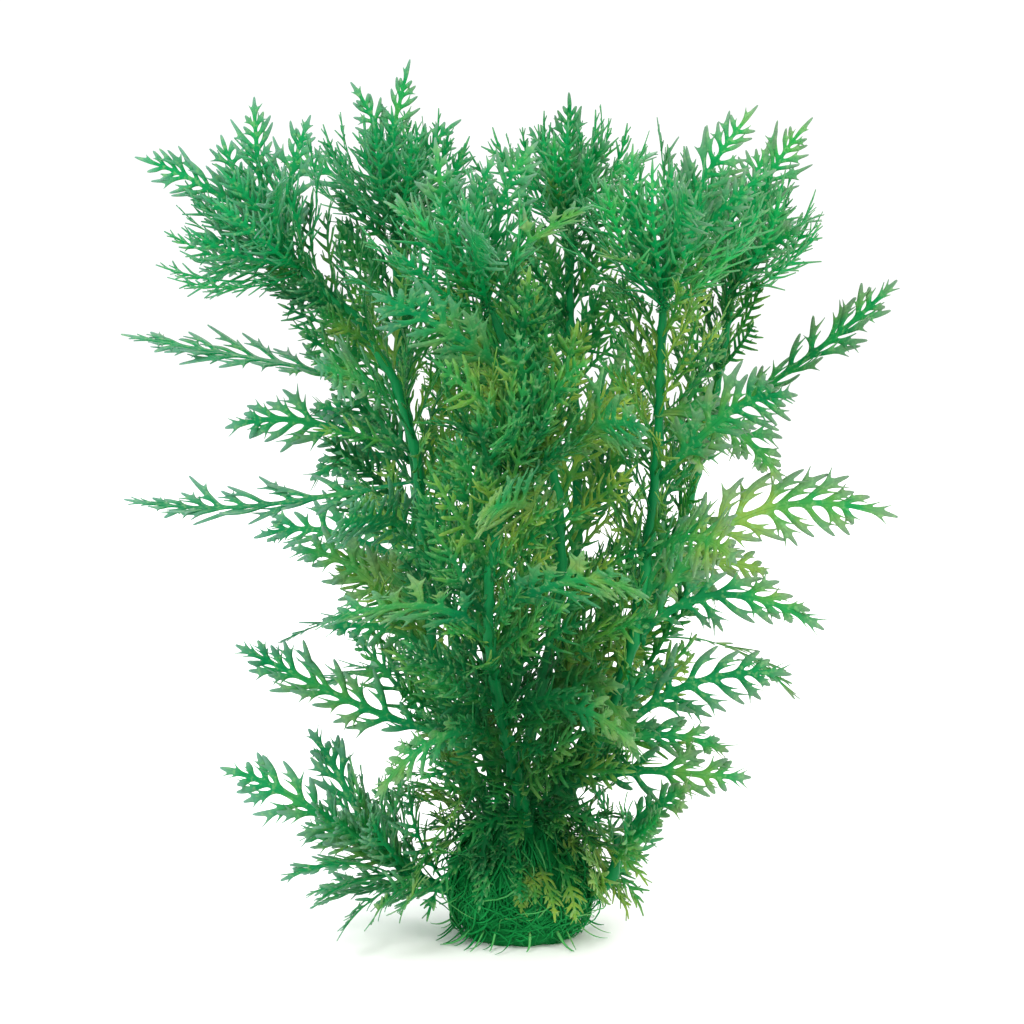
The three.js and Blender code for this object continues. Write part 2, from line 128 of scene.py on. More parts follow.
def add_node(material, kind, inputs=(), output=0, ramp=(), **settings):
    """Adds a node and returns one of its outputs. Inputs go by place or by name, and each is a value or
    another node's output. A ramp is a row of hex colours, spread evenly from 0 to 1."""
    node = material.node_tree.nodes.new(f"ShaderNode{kind}")
    for name, value in settings.items():
        setattr(node, name, value)
    for name, value in inputs.items() if isinstance(inputs, dict) else enumerate(inputs):
        if isinstance(value, bpy.types.NodeSocket):
            material.node_tree.links.new(value, node.inputs[name])
        else:
            node.inputs[name].default_value = value
    if ramp:
        stops = node.color_ramp.elements
        while len(stops) < len(ramp):
            stops.new(1.0)
        for k, colour in enumerate(ramp):
            stops[k].position = k / (len(ramp) - 1)
            stops[k].color = linear(colour)
    return node.outputs[output] if node.outputs else None


def new_material(name):
    """An empty material, and the helper that adds nodes to it."""
    material = bpy.data.materials.new(name)
    material.use_nodes = True
    material.node_tree.nodes.clear()
    return material, partial(add_node, material)


print("a middle grey as the sockets want it:", [round(channel, 3) for channel in linear("#808080")])

# %% [markdown]
# ## Where the light reaches
# Leaves low inside the bunch are painted dark as shade, those on the sunny side are painted warmer as
# sunlight, and the ends of the outer lobes are palest. One pattern for the whole bunch would slide over its
# leaves, so each leaf carries a tint of its own, and every point how far it lies out along its lobe and how
# far across it.

# %% Shares of light
MARKS = ("tint", "outward", "across")
PATCH_SIZE = 30 * MM
# Painted shade over the core low in the middle of the bunch, which runs through it from front to back, and
# how far out it is fully dark, as a share of its reach
CORE_MIDDLE = Vector((3, 0, 62)) * MM
CORE_SCALE = Vector((1 / 30, 0, 1 / 52)) / MM
CORE_FULL = 0.45
CORE_DEPTH = 0.75
# The green painted over the core as its shade
CORE_SHADE_GREEN = "#005e2c"


def core_shade_share(node, place):
    """How far the painted shade of the core covers a point: most in the core's middle, and not at all
    outside it.
    """
    offset = node("Mapping", {"Vector": place, "Location": -CORE_MIDDLE * CORE_SCALE, "Scale": CORE_SCALE})
    away = node("VectorMath", [offset], "Value", operation="LENGTH")
    return node("MapRange", [away, CORE_FULL, 1.0, CORE_DEPTH, 0.0])


def warmth_of(node, place, to_right, mottle, tint, outward):
    """How far a point is from the shaded to the sunlit green. Each leaf's own tint counts most, then the
    sunny side, the younger and cooler top, the way out along the lobe and the blotches."""
    height = node("SeparateXYZ", [place], "Z")
    patches = node("TexNoise", {"Vector": place, "Scale": 1 / PATCH_SIZE, "Detail": 3.0})
    warmth = 0.0
    # What is read, the range that counts in it, and what its two ends add
    for reading in (
        [tint, 0.0, 1.0, 0.0, 0.48],
        [to_right, 0.0, 1.0, 0.0, 0.22],
        [height, 165 * MM, 215 * MM, 0.0, -0.2],
        [outward, 0.0, 0.8, 0.0, 0.22],
        [patches, 0.36, 0.62, -0.30, 0.34],
        [mottle, 0.3, 0.7, -0.2, 0.2],
    ):
        warmth = node("Math", [warmth, node("MapRange", reading)], operation="ADD")
    return warmth


def paleness_of(node, place, outward, pale):
    """How pale a point is: towards its lobe's end, and most at the sides and the top of the bunch."""
    x, z = (node("SeparateXYZ", [place], axis) for axis in "XZ")
    aside = node("Math", [x], operation="ABSOLUTE")
    to_side = node("MapRange", [aside, 22 * MM, 60 * MM, 0.35, 1.0])
    to_top = node("MapRange", [z, 185 * MM, 230 * MM, 0.35, 1.0])
    outermost = node("Math", [to_side, to_top], operation="MAXIMUM")
    to_lobe_end = node("MapRange", [outward, pale[0], 1.0, 0.0, pale[1]])
    return node("Math", [to_lobe_end, outermost], operation="MULTIPLY")


print("the core's middle in mm:", [round(value / MM) for value in CORE_MIDDLE])

# %% [markdown]
# ## Leaf tissue
# An underwater leaf has no waxy skin and is only a few cells thick. Light falls through it, so a blade
# glows yellow-green against the light and its thin lobe tips look pale and watery. That calls for a
# satin Principled surface mixed with a Translucent one.

# %% Leaf materials
MOTTLE_SIZE = 7 * MM
# Cells are under 0.1 mm wide and would not show, so their pale flecks are drawn far coarser
FLECK_SIZE = 1.4 * MM
FLECK_GREEN = "#9ccc90"
VEIN_HALF_SHARE = 0.16
LIGHT_THROUGH = 0.45
WET_SPECULAR = 0.15
# What the side away from the sun leans to, and what the light adds that comes through a blade
COOL_GREEN = "#12a070"
GLOW_GREEN = "#74d87a"


def tissue(name, greens, tips, vein, pale, coolness):
    """Leaf tissue: greens from shaded to sunlit, the cool and the warm colour of its tips, the vein, where
    along a lobe it grows pale and how much, and how far its shaded side leans to a cooler green."""
    material, node = new_material(name)
    place = node("TexCoord", output="Object")
    tint, outward, across = (node("Attribute", output="Fac", attribute_name=mark) for mark in MARKS)
    to_right = node("MapRange", [node("SeparateXYZ", [place], "X"), -90 * MM, 80 * MM])
    mottle = node("TexNoise", {"Vector": place, "Scale": 1 / MOTTLE_SIZE, "Detail": 3.0})
    flecks = node("TexNoise", {"Vector": place, "Scale": 1 / FLECK_SIZE, "Detail": 2.0})
    off_vein = node("Math", [across], operation="ABSOLUTE")
    vein_share = node("MapRange", [off_vein, 0.0, VEIN_HALF_SHARE, 0.55, 0.0])
    paleness = paleness_of(node, place, outward, pale)
    tip = node("Mix", {0: to_right, 6: linear(tips[0]), 7: linear(tips[1])}, 2, data_type="RGBA")

    body = node("ValToRGB", [warmth_of(node, place, to_right, mottle, tint, outward)], ramp=greens)
    for share, colour in (
        (node("MapRange", [to_right, 0.0, 0.8, coolness, 0.25 * coolness]), linear(COOL_GREEN)),
        (vein_share, linear(vein)),
        (paleness, tip),
        (node("MapRange", [flecks, 0.54, 0.68, 0.0, 0.5]), linear(FLECK_GREEN)),
        # Painted shade: the core low in the middle of the bunch is drawn dark
        (core_shade_share(node, place), linear(CORE_SHADE_GREEN)),
    ):
        body = node("Mix", {0: share, 6: body, 7: colour}, 2, data_type="RGBA")

    relief = node("Math", [flecks, vein_share], operation="ADD")
    surface = node("BsdfPrincipled", {
        "Base Color": body,
        "Roughness": node("MapRange", [mottle, 0.3, 0.7, 0.36, 0.52]),
        "Normal": node("Bump", {"Height": relief, "Strength": 0.25, "Distance": 0.15 * MM}),
        "Specular IOR Level": WET_SPECULAR,
    })
    glow_share = node("MapRange", [paleness, 0.0, 0.8, 0.36, 0.14])
    glow = node("Mix", {0: glow_share, 6: body, 7: linear(GLOW_GREEN)}, 2, data_type="RGBA")
    through = node("BsdfTranslucent", {"Color": glow})
    node("OutputMaterial", {"Surface": node("MixShader", [LIGHT_THROUGH, surface, through])})
    return material


# A grown submerged blade: emerald, cooler on the left, with pale grey-green tips
grown_tissue = tissue(
    "grown_leaf_tissue", ["#007c48", "#0e9454", "#30a254", "#66a84e", "#98b650"],
    ("#80b0a0", "#86a28c"), "#00703c", (0.22, 1.0), 0.38,
)
# A blade inside the bunch: deep green in the shade and yellow where light gets in, with darker tips
inner_tissue = tissue(
    "inner_leaf_tissue", ["#066230", "#0a8642", "#3a9c44", "#7cb042", "#aac44a"],
    ("#6aa884", "#90b478"), "#006434", (0.32, 0.68), 0.16,
)
# A young blade near a shoot's tip: a fuller, fresher green, and pale over most of each lobe
young_tissue = tissue(
    "young_leaf_tissue", ["#009850", "#12a65a", "#38b058", "#74b850", "#a8c652"],
    ("#84b4a2", "#8caa92"), "#00824a", (0.14, 1.0), 0.32,
)
# The imported leaves of a bud: bright emerald all over, painted light that keeps the tuft from going dark in
# the shade its crowded leaves cast on each other
bud_tissue = tissue(
    "bud_leaf_tissue", ["#00a45a", "#00ae5e", "#18b85e", "#44c258", "#7ac856"],
    ("#72b094", "#84ae88"), "#007840", (0.2, 0.8), 0.2,
)
print("leaf tissues:", grown_tissue.name, inner_tissue.name, young_tissue.name, bud_tissue.name)

# %% [markdown]
# ## Stems and roots
# A stem is soft, round and ridged lengthwise, a little glossy, and greener than wood ever is. Roots are
# thread-fine: the mass is a dark, wet mat, and the newest roots lie over it in paler green.

# %% Stem and root materials
RIDGE_SIZE = 0.9 * MM
MAT_SIZE = 2.5 * MM


def streaked(name, colours, streak, stretch, roughness, relief):
    """A fibrous surface: its colours, how wide a streak is, how far its pattern is squeezed along the
    piece's height to draw it out, its roughness, and how deep its relief is."""
    material, node = new_material(name)
    place = node("TexCoord", output="Object")
    drawn_out = node("Mapping", {"Vector": place, "Scale": (1.0, 1.0, stretch)})
    fibres = node("TexNoise", {"Vector": drawn_out, "Scale": 1 / streak, "Detail": 4.0})
    blotches = node("TexNoise", {"Vector": place, "Scale": 1 / (2 * MOTTLE_SIZE), "Detail": 2.0})
    blotch_share = node("MapRange", [blotches, 0.3, 0.7, -0.05, 0.45])
    share = node("Math", [fibres, 0.6, blotch_share], operation="MULTIPLY_ADD", use_clamp=True)
    body = node("ValToRGB", [share], ramp=colours)
    # Painted shade: stems and roots in the core low in the middle of the bunch are drawn dark as well
    in_core_shade = core_shade_share(node, place)
    surface = node("BsdfPrincipled", {
        "Base Color": node("Mix", {0: in_core_shade, 6: body, 7: linear(CORE_SHADE_GREEN)}, 2, data_type="RGBA"),
        "Roughness": node("MapRange", [fibres, 0.3, 0.7, roughness - 0.06, roughness + 0.08]),
        "Normal": node("Bump", {"Height": fibres, "Strength": 0.5, "Distance": relief}),
        "Specular IOR Level": WET_SPECULAR,
    })
    node("OutputMaterial", {"Surface": surface})
    return material


# Stem skin: smooth and moist, with fine ridges that catch a soft highlight
stem_skin = streaked("stem_skin", ["#005a30", "#00783e", "#12904a"], RIDGE_SIZE, 0.12, 0.40, 0.2 * MM)
# The mat of old roots: dark and wet, with no gloss of its own
root_mat = streaked("matted_old_root", ["#00662c", "#007e38", "#20944c"], MAT_SIZE, 0.5, 0.62, 0.6 * MM)
# New roots: paler green threads over the mat
new_root = streaked("new_root_thread", ["#249048", "#50a85a", "#88bc74"], MAT_SIZE, 0.3, 0.48, 0.1 * MM)
print("stem and root materials:", stem_skin.name, root_mat.name, new_root.name)

# %% [markdown]
# ## Reading a stem from its solid
# A stem's solid is a square tube, and on the tall ones the smaller leaves grow out of it. Rays cast from
# inside find the tube's walls: wherever a wall is missing, a leaf opens there. Going up the tube like this,
# step by step from the end at the roots, gives the line that the stem follows.

# %% Stem lines
SAME_CORNER = 0.01 * MM
STEM_SIDES = 4
STEP = 1.5 * MM
WALL_REACH = 3 * MM
RAYS = 8
EVENING_PASSES = 3


def merged_copy(node):
    """The node's shape with its corners merged, in a bmesh of its own."""
    bm = bmesh.new()
    bm.from_mesh(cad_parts[node].data)
    bmesh.ops.remove_doubles(bm, verts=bm.verts, dist=SAME_CORNER)
    return bm


def corners_of(node):
    bm = merged_copy(node)
    points = [vert.co.copy() for vert in bm.verts]
    bm.free()
    return points


def end_ring(points, spot):
    """The ring of corners nearest to a spot, its middle and its radius."""
    ring = sorted(points, key=lambda point: (point - spot).length)[:STEM_SIDES]
    middle = sum(ring, Vector()) / STEM_SIDES
    return ring, middle, max((point - middle).length for point in ring)


def middle_of_walls(tree, guess, along):
    """Moves a guess to the middle between the walls that face each other across it."""
    aside = along.orthogonal().normalized()
    hits = [
        tree.ray_cast(guess, Quaternion(along, FULL_TURN * k / RAYS) @ aside, WALL_REACH)[0]
        for k in range(RAYS)
    ]
    facing = [(a + b) / 2 for a, b in zip(hits, hits[RAYS // 2:]) if a and b]
    return sum(facing, Vector()) / len(facing) if facing else guess


def read_stem(node):
    """The line through a stem and its radius at the foot and at the tip."""
    bm = merged_copy(node)
    tree = BVHTree.FromBMesh(bm)
    bm.free()
    points = corners_of(node)
    ring, spot, foot_radius = end_ring(points, FOOT_MIDDLE)
    along = (ring[0] - ring[1]).cross(ring[0] - ring[2]).normalized()
    if along.dot(spot - FOOT_MIDDLE) < 0:
        along.negate()
    line = [spot]
    end = None
    while end is None:
        guess = middle_of_walls(tree, line[-1] + along * STEP, along)
        ahead = (guess - line[-1]).normalized()
        end = tree.ray_cast(line[-1] + ahead * 0.1 * STEP, ahead, (guess - line[-1]).length)[0]
        if end is None:
            line.append(guess)
            along = (along + ahead).normalized()
    line.append(end)
    for _ in range(EVENING_PASSES):
        inner = [(a + 2 * b + c) / 4 for a, b, c in zip(line, line[1:], line[2:])]
        line = [line[0], *inner, line[-1]]
    return {"line": line, "radii": (foot_radius, end_ring(points, end)[2])}


stems = {node.removeprefix("stem_"): read_stem(node) for node in STEM_NODES}
print("points on each stem's line:", {name: len(stem["line"]) for name, stem in stems.items()})


def between(ends, share):
    """The value at a share of the way from one end to the other."""
    return ends[0] + (ends[1] - ends[0]) * share


def stem_spot(stem, share):
    """The middle, direction and radius of a stem at a share of its length."""
    line = stem["line"]
    index = min(len(line) - 2, max(0, int(share * (len(line) - 1))))
    along = (line[index + 1] - line[index]).normalized()
    return line[index], along, between(stem["radii"], share)


# %% [markdown]
# ## Reading a leaf from its solid
# A leaf's solid is a midrib with a row of lobes on each side. Its base is at the three corners nearest
# to the stem, and its tip is the corner farthest from that base. What is left over across the straight
# line between them says which way the blade spreads, how wide it is and how far the midrib bows.

# %% Leaf seats
BASE_CORNERS = 3
# A blade's upper side looks up, and this much as strongly out of the bunch
OUTWARD_SHARE = 0.6


def square_to(way, facing):
    """The direction square to one way that comes nearest to another."""
    return (facing - way * facing.dot(way)).normalized()


def widest_way(offsets, along):
    """The direction across a line in which the offsets spread most."""
    across = along.orthogonal().normalized()
    other = along.cross(across)
    xx = sum(offset.dot(across) ** 2 for offset in offsets)
    yy = sum(offset.dot(other) ** 2 for offset in offsets)
    xy = sum(offset.dot(across) * offset.dot(other) for offset in offsets)
    angle = 0.5 * math.atan2(2 * xy, xx - yy)
    return across * math.cos(angle) + other * math.sin(angle)


def bow_along(points, base, chord, way):
    """How far the midrib bows towards a direction in its middle, fitted over all the points."""
    top = bottom = 0.0
    for point in points:
        share = (point - base).dot(chord) / chord.length_squared
        weight = 4 * share * (1 - share)
        top += weight * (point - base).dot(way)
        bottom += weight * weight
    return top / bottom if bottom else 0.0


def leaf_seat(points, base, tip):
    """Where a leaf lies: base, chord, bow, the way its upper side looks and its half width."""
    chord = tip - base
    along = chord.normalized()
    offsets = [point - base - along * (point - base).dot(along) for point in points]
    side = widest_way(offsets, along)
    looks = along.cross(side).normalized()
    if looks.dot(UP) + OUTWARD_SHARE * looks.dot(Vector((base.x, base.y, 0)).normalized()) < 0:
        side, looks = -side, -looks
    bow = looks * bow_along(points, base, chord, looks) + side * bow_along(points, base, chord, side)
    half = max(abs(offset.dot(side)) for offset in offsets)
    return {"base": base, "chord": chord, "bow": bow, "looks": looks, "half": half}


def seat_of_leaf(node):
    """A grown leaf's seat. Its name ends with its stem's name and a number."""
    points = corners_of(node)
    line = stems[node.removeprefix("leaf_").rsplit("_", 1)[0]]["line"]
    nearest = sorted(points, key=lambda point: min((point - spot).length for spot in line))[:BASE_CORNERS]
    base = sum(nearest, Vector()) / BASE_CORNERS
    tip = max(points, key=lambda point: (point - base).length)
    return leaf_seat(points, base, tip)


leaf_seats = {node: seat_of_leaf(node) for node in LEAF_NODES}
longest = max(seat["chord"].length for seat in leaf_seats.values())
print("leaves:", len(leaf_seats), "longest in mm:", round(longest / MM, 1))

# %% [markdown]
# ## Reading a crown
# A crown's solid holds a bud and the young leaves round it in one. A leaf's tip is a corner that has no
# corner farther from the bud anywhere near it, and every other corner belongs to the nearest leaf.

# %% Crown seats
TIP_CLEARANCE = 11 * MM
BUD_SEAT = 3 * MM
# The bud itself takes up this share of each young leaf's length
BUD_SHARE = 0.3
YOUNG_BOW_SHARE = 0.08
YOUNG_HALF_SHARE = 0.16


def to_segment(point, base, chord):
    """How far a point lies from the line between base and tip."""
    share = min(1.0, max(0.0, (point - base).dot(chord) / chord.length_squared))
    return (point - base - chord * share).length


def seats_of_crown(node):
    points = corners_of(node)
    stem = stems[node.removeprefix("crown_")]
    along = stem_spot(stem, 1.0)[1]
    base = stem["line"][-1] + along * BUD_SEAT
    tips = [
        point for point in points
        if not any((other - base).length > (point - base).length + SAME_CORNER
                   and (other - point).length < TIP_CLEARANCE for other in points)
    ]
    seats = []
    for tip in tips:
        chord = tip - base
        own = [
            point for point in points
            if to_segment(point, base, chord) <= min(to_segment(point, base, other - base) for other in tips)
            and (point - base).length > BUD_SHARE * chord.length
        ]
        seat = leaf_seat(own, base, tip)
        seat["bow"] = square_to(chord.normalized(), along) * chord.length * YOUNG_BOW_SHARE
        seat["half"] = max(seat["half"], chord.length * YOUNG_HALF_SHARE)
        seats.append(seat)
    return seats


crown_seats = {node: seats_of_crown(node) for node in CROWN_NODES}
print("young leaves by crown:", {node: len(seats) for node, seats in crown_seats.items()})

# %% [markdown]
# ## Reading the smaller leaves
# On a stem's solid the corners that stand well off its line belong to the smaller leaves, and those of
# one leaf hang together. The two farthest apart across it are its widest place, and the one that is left
# beside the tip is the top of its midrib.

# %% Smaller seats
OFF_THE_STEM = 3.4 * MM
SMALL_BOW_SHARE = 0.05


def groups_of(verts):
    """The given corners in groups that hang together by edges."""
    left = list(verts)
    groups = []
    while left:
        group, found = [], [left[0]]
        while found:
            vert = found.pop()
            if vert in left:
                left.remove(vert)
                group.append(vert)
                found += [edge.other_vert(vert) for edge in vert.link_edges]
        groups.append(group)
    return groups


def seat_on_stem(points, line):
    """The seat of one smaller leaf, from the corners of its plain blade."""
    tip = max(points, key=lambda point: min((point - spot).length for spot in line))
    rest = [point for point in points if point is not tip]
    left, right = max(((a, b) for a in rest for b in rest), key=lambda pair: (pair[0] - pair[1]).length)
    middle = (left + right) / 2
    midrib = max(rest, key=lambda point: (point - left).cross(right - left).length)
    way = (middle - tip).normalized()
    base = min(line, key=lambda spot: (spot - tip).cross(way).length)
    chord = tip - base
    looks = (midrib - middle).normalized()
    bow = looks * chord.length * SMALL_BOW_SHARE
    return {"base": base, "chord": chord, "bow": bow, "looks": looks, "half": (left - right).length / 2}


def small_seats(name):
    bm = merged_copy(f"stem_{name}")
    line = stems[name]["line"]
    off = [vert for vert in bm.verts if min((vert.co - spot).length for spot in line) > OFF_THE_STEM]
    seats = [seat_on_stem([vert.co.copy() for vert in group], line) for group in groups_of(off)]
    bm.free()
    return seats


small_leaf_seats = {name: small_seats(name) for name in stems}
print("smaller leaves:", {name: len(seats) for name, seats in small_leaf_seats.items()})

# %% [markdown]
# ## What a leaf's habit is
# The real leaf is pinnate: a winged midrib with a pair of lobes every few millimetres, each lobe toothed
# towards its tip. How close, wide and toothed the lobes are goes by age, so each age has its own habit,
# and the rest is the same for all. No two lobes are alike, so most values are ranges.

# %% Leaf habits
PETIOLE_SHARE = 0.12
# The petiole's half width, and its end's inside the stem, as shares of the midrib's
PETIOLE_WIDTH = 0.7
PETIOLE_END_WIDTH = 0.75
SUNK_IN_STEM = 2.2 * MM
FEWEST_PAIRS = 6
LOBES_END = 0.86
LOBE_CROWDING = 1.25
# A lobe's base is at most this wide on each side, and at most this share of its room
LOBE_BASE = 1.5 * MM
LOBE_BASE_SHARE = 0.24
# How much slimmer the midrib is at the last pair of lobes
MIDRIB_TAPER = 0.45
# The shortest, longest and usual lobe as shares of its full reach, and how far a pair strays from its place
LOBE_SHARES = (0.45, 1.05, 0.88)
STRAY = 0.25
# How far a midrib sways to each side, as a share of the leaf's length
SWAY = 0.024
# How far a lobe reaches for each millimetre that its solid stands out from the midrib
LOBE_PER_HALF = 1.2
# A lobe leans forward, strays from that, bends on and lifts, all in degrees
LOBE_LEAN = 40
LEAN_STRAY = (-15, 12)
LOBE_BEND = (8, 32)
LIFT_STRAY = (-9, 9)
POINT_HALF_WIDTH = 0.16 * MM
# A tooth is at most this share of its lobe, some are shorter or longer, and all sweep forward
TOOTH_SHARE = 0.4
TOOTH_LENGTHS = (0.7, 1.15)
END_TOOTH_LENGTHS = (0.5, 0.9)
TOOTH_SWEEP = 0.75
TOOTH_OUTWARD = 0.3

# Stations out along a lobe: [share of its length, share of its full half width], and the stretches,
# counted from the midrib, that may carry a tooth
FULL_LOBE = (
    (0.10, 0.75), (0.30, 0.9), (0.38, 1.0), (0.54, 0.95), (0.61, 0.9), (0.84, 0.72), (1.0, 0.3),
)
FULL_TEETH = (2, 4)
PLAIN_LOBE = ((0.12, 0.75), (0.38, 1.0), (0.48, 0.95), (0.84, 0.72), (1.0, 0.3))
PLAIN_TEETH = (2,)
SLIM_LOBE = ((0.40, 1.0), (0.52, 0.95), (1.0, 0.3))
SLIM_TEETH = (1,)


def leaf_habit(spacing, midrib, lobe, stations, toothed, teeth, tooth, lift, curl):
    """A leaf's habit: how far apart its pairs are, half widths of midrib and lobe and the longest tooth in
    millimetres, how likely a tooth is on the near and the far side, the lift in degrees, and the curl."""
    return {
        "spacing": spacing * MM, "midrib": midrib * MM, "lobe": lobe * MM, "stations": stations,
        "toothed": toothed, "teeth": teeth, "tooth": tooth * MM, "lift": math.radians(lift), "curl": curl,
    }


GROWN = leaf_habit(6.0, 1.2, 1.0, FULL_LOBE, FULL_TEETH, (0.5, 0.85), 5.0, 8, 0.24)
YOUNG = leaf_habit(4.2, 0.8, 0.68, PLAIN_LOBE, PLAIN_TEETH, (0.4, 0.7), 3.2, 18, 0.3)
SIDE = leaf_habit(4.9, 0.85, 0.68, PLAIN_LOBE, PLAIN_TEETH, (0.4, 0.7), 4.0, 14, 0.35)
SMALL = leaf_habit(3.8, 0.6, 0.46, SLIM_LOBE, SLIM_TEETH, (0.2, 0.45), 3.4, 16, 0.4)


def lobe_reach(share):
    """How far the lobes reach, from the blade's first pair to its last, as a share of the longest."""
    return math.sin(math.pi * (0.2 + 0.7 * share)) ** 0.8


print("lobe lengths from the first pair to the last:", [round(lobe_reach(k / 4), 2) for k in range(5)])

# %% [markdown]
# ## Lobes and teeth
# A leaf could be cut out of a sheet, but here it grows as the real one does, edge by edge. A lobe is an
# edge of the midrib extruded outwards station by station, and a tooth is an edge of the lobe extruded to a
# point, so that all stays one connected sheet.

# %% Growing a lobe


def mark(bm, vert, outward, across):
    vert[bm.verts.layers.float["outward"]] = outward
    vert[bm.verts.layers.float["across"]] = across


def extended(bm, pair, targets):
    """Extrudes the edge between two points and moves the new ends to their targets."""
    made = bmesh.ops.extrude_edge_only(bm, edges=[bm.edges.get(pair)])["geom"]
    fresh = [part for part in made if isinstance(part, bmesh.types.BMVert)]
    fresh.sort(key=lambda vert: bm.edges.get((vert, pair[0])) is None)
    for vert, target in zip(fresh, targets):
        vert.co = target
    return tuple(fresh)


def grow_tooth(bm, pair, along, outward_way, length, outward):
    """A pointed tooth on the edge between two points, swept forward along its lobe."""
    middle = (pair[0].co + pair[1].co) / 2
    point = middle + (along + outward_way * TOOTH_SWEEP).normalized() * length
    point.z = middle.z
    for vert in extended(bm, pair, (point - along * POINT_HALF_WIDTH, point + along * POINT_HALF_WIDTH)):
        mark(bm, vert, min(1.0, outward + TOOTH_OUTWARD), 0.0)


def grow_lobe(bm, pair, hand, length, habit, dice):
    """A lobe on the midrib's side edge. hand is 1 on the left and -1 on the right."""
    lean = math.radians(LOBE_LEAN) + math.radians(dice.uniform(*LEAN_STRAY))
    bend = math.radians(dice.uniform(*LOBE_BEND))
    curl = dice.uniform(-1, 1) * habit["curl"]
    lift = math.tan(habit["lift"] + math.radians(dice.uniform(*LIFT_STRAY)))
    centre = (pair[0].co + pair[1].co) / 2
    start = centre.copy()
    before = 0.0
    for stretch, (station, fullness) in enumerate(habit["stations"]):
        angle = lean + bend * station
        along = Vector((math.sin(angle), hand * math.cos(angle), 0))
        forward = Vector((math.cos(angle), -hand * math.sin(angle), 0))
        centre = centre + along * length * (station - before)
        centre.z = start.z + (centre - start).length * lift / 2 + curl * length * station ** 2
        half = max(POINT_HALF_WIDTH, habit["lobe"] * fullness)
        new_pair = extended(bm, pair, (centre - forward * half, centre + forward * half))
        mark(bm, new_pair[0], station, -1.0)
        mark(bm, new_pair[1], station, 1.0)
        for corner, way in ((0, -forward), (1, forward)):
            if stretch in habit["toothed"] and dice.random() < habit["teeth"][corner]:
                tooth = min(habit["tooth"], TOOTH_SHARE * length) * dice.uniform(*TOOTH_LENGTHS)
                grow_tooth(bm, (pair[corner], new_pair[corner]), along, way, tooth, station)
        pair = new_pair
        before = station


print("stations along a lobe:", len(FULL_LOBE), "on a grown leaf,", len(SLIM_LOBE), "on the smallest ones")

# %% [markdown]
# ## One leaf, grown flat
# A short edge is extruded into the midrib row by row, with two rows close together wherever a pair of
# lobes stands, and the lobes grow from the edges between the two. The midrib ends in a lobe of its own.

# %% Growing a blade


def midrib_rows(length, pairs, habit, dice):
    """The midrib's rows: [how far along, half width, how far out along the end lobe]."""
    rows = [(-SUNK_IN_STEM, habit["midrib"] * PETIOLE_END_WIDTH, 0.0)]
    for part in (0.4, 0.8):
        rows.append((length * PETIOLE_SHARE * part, habit["midrib"] * PETIOLE_WIDTH, 0.0))
    half_base = min(LOBE_BASE, LOBE_BASE_SHARE * length * (LOBES_END - PETIOLE_SHARE) / pairs)
    for k in range(pairs):
        crowded = 1 - (1 - (k + 0.5 + dice.uniform(-STRAY, STRAY)) / pairs) ** LOBE_CROWDING
        middle = length * (PETIOLE_SHARE + (LOBES_END - PETIOLE_SHARE) * crowded)
        half = habit["midrib"] * (1 - MIDRIB_TAPER * k / pairs)
        rows += [(middle - half_base, half, 0.0), (middle + half_base, half, 0.0)]
    start = rows[-1][0]
    for station, fullness in habit["stations"]:
        half = max(POINT_HALF_WIDTH, habit["lobe"] * fullness)
        rows.append((start + (length - start) * station, half, station))
    return rows


def grow_midrib(bm, rows, sway, length):
    """The midrib as columns of three points each: left edge, middle and right edge."""
    x, half, _ = rows[0]
    column = [bm.verts.new((x, side * half, 0)) for side in (1, 0, -1)]
    edges = [bm.edges.new(pair) for pair in zip(column, column[1:])]
    columns = [column]
    for x, half, outward in rows[1:]:
        made = bmesh.ops.extrude_edge_only(bm, edges=edges)["geom"]
        fresh = [part for part in made if isinstance(part, bmesh.types.BMVert)]
        column = sorted(fresh, key=lambda vert: -vert.co.y)
        edges = [bm.edges.get(pair) for pair in zip(column, column[1:])]
        aside = sway * math.sin(FULL_TURN * max(0.0, x) / length)
        for vert, side in zip(column, (1, 0, -1)):
            vert.co = (x, aside + side * half, 0.0)
            mark(bm, vert, outward, side)
        columns.append(column)
    return columns


def blade(length, reach, habit, dice):
    """A leaf along +X from its base at the origin, spread in the XY plane, upper side up."""
    bm = bmesh.new()
    for name in MARKS:
        bm.verts.layers.float.new(name)
    pairs = max(FEWEST_PAIRS, round(length * (LOBES_END - PETIOLE_SHARE) / habit["spacing"]))
    rows = midrib_rows(length, pairs, habit, dice)
    columns = grow_midrib(bm, rows, dice.uniform(-SWAY, SWAY) * length, length)
    end_lobe = len(rows) - len(habit["stations"])
    first_lobe = end_lobe - 2 * pairs
    for k in range(pairs):
        near, far = columns[first_lobe + 2 * k], columns[first_lobe + 2 * k + 1]
        for hand, side in ((1, 0), (-1, 2)):
            out = reach * lobe_reach(k / (pairs - 1)) * dice.triangular(*LOBE_SHARES)
            grow_lobe(bm, (near[side], far[side]), hand, out, habit, dice)
    for k in (end_lobe + stretch - 1 for stretch in habit["toothed"]):
        for hand, side in ((1, 0), (-1, 2)):
            if dice.random() < habit["teeth"][1]:
                pair = (columns[k][side], columns[k + 1][side])
                tooth = habit["tooth"] * dice.uniform(*END_TOOTH_LENGTHS)
                grow_tooth(bm, pair, Vector((1, 0, 0)), Vector((0, hand, 0)), tooth, rows[k + 1][2])
    return bm


trial = blade(90 * MM, 24 * MM, GROWN, random.Random(11))
print("one grown blade:", len(trial.verts), "points,", len(trial.faces), "faces")

# %% [markdown]
# ## Bending a blade onto its midrib
# The flat blade is laid on the bowed line of its seat. Every point keeps its distance along, across and
# above the midrib, so the lobes turn with the bow as they do on a living leaf.

# %% Laying a blade in place


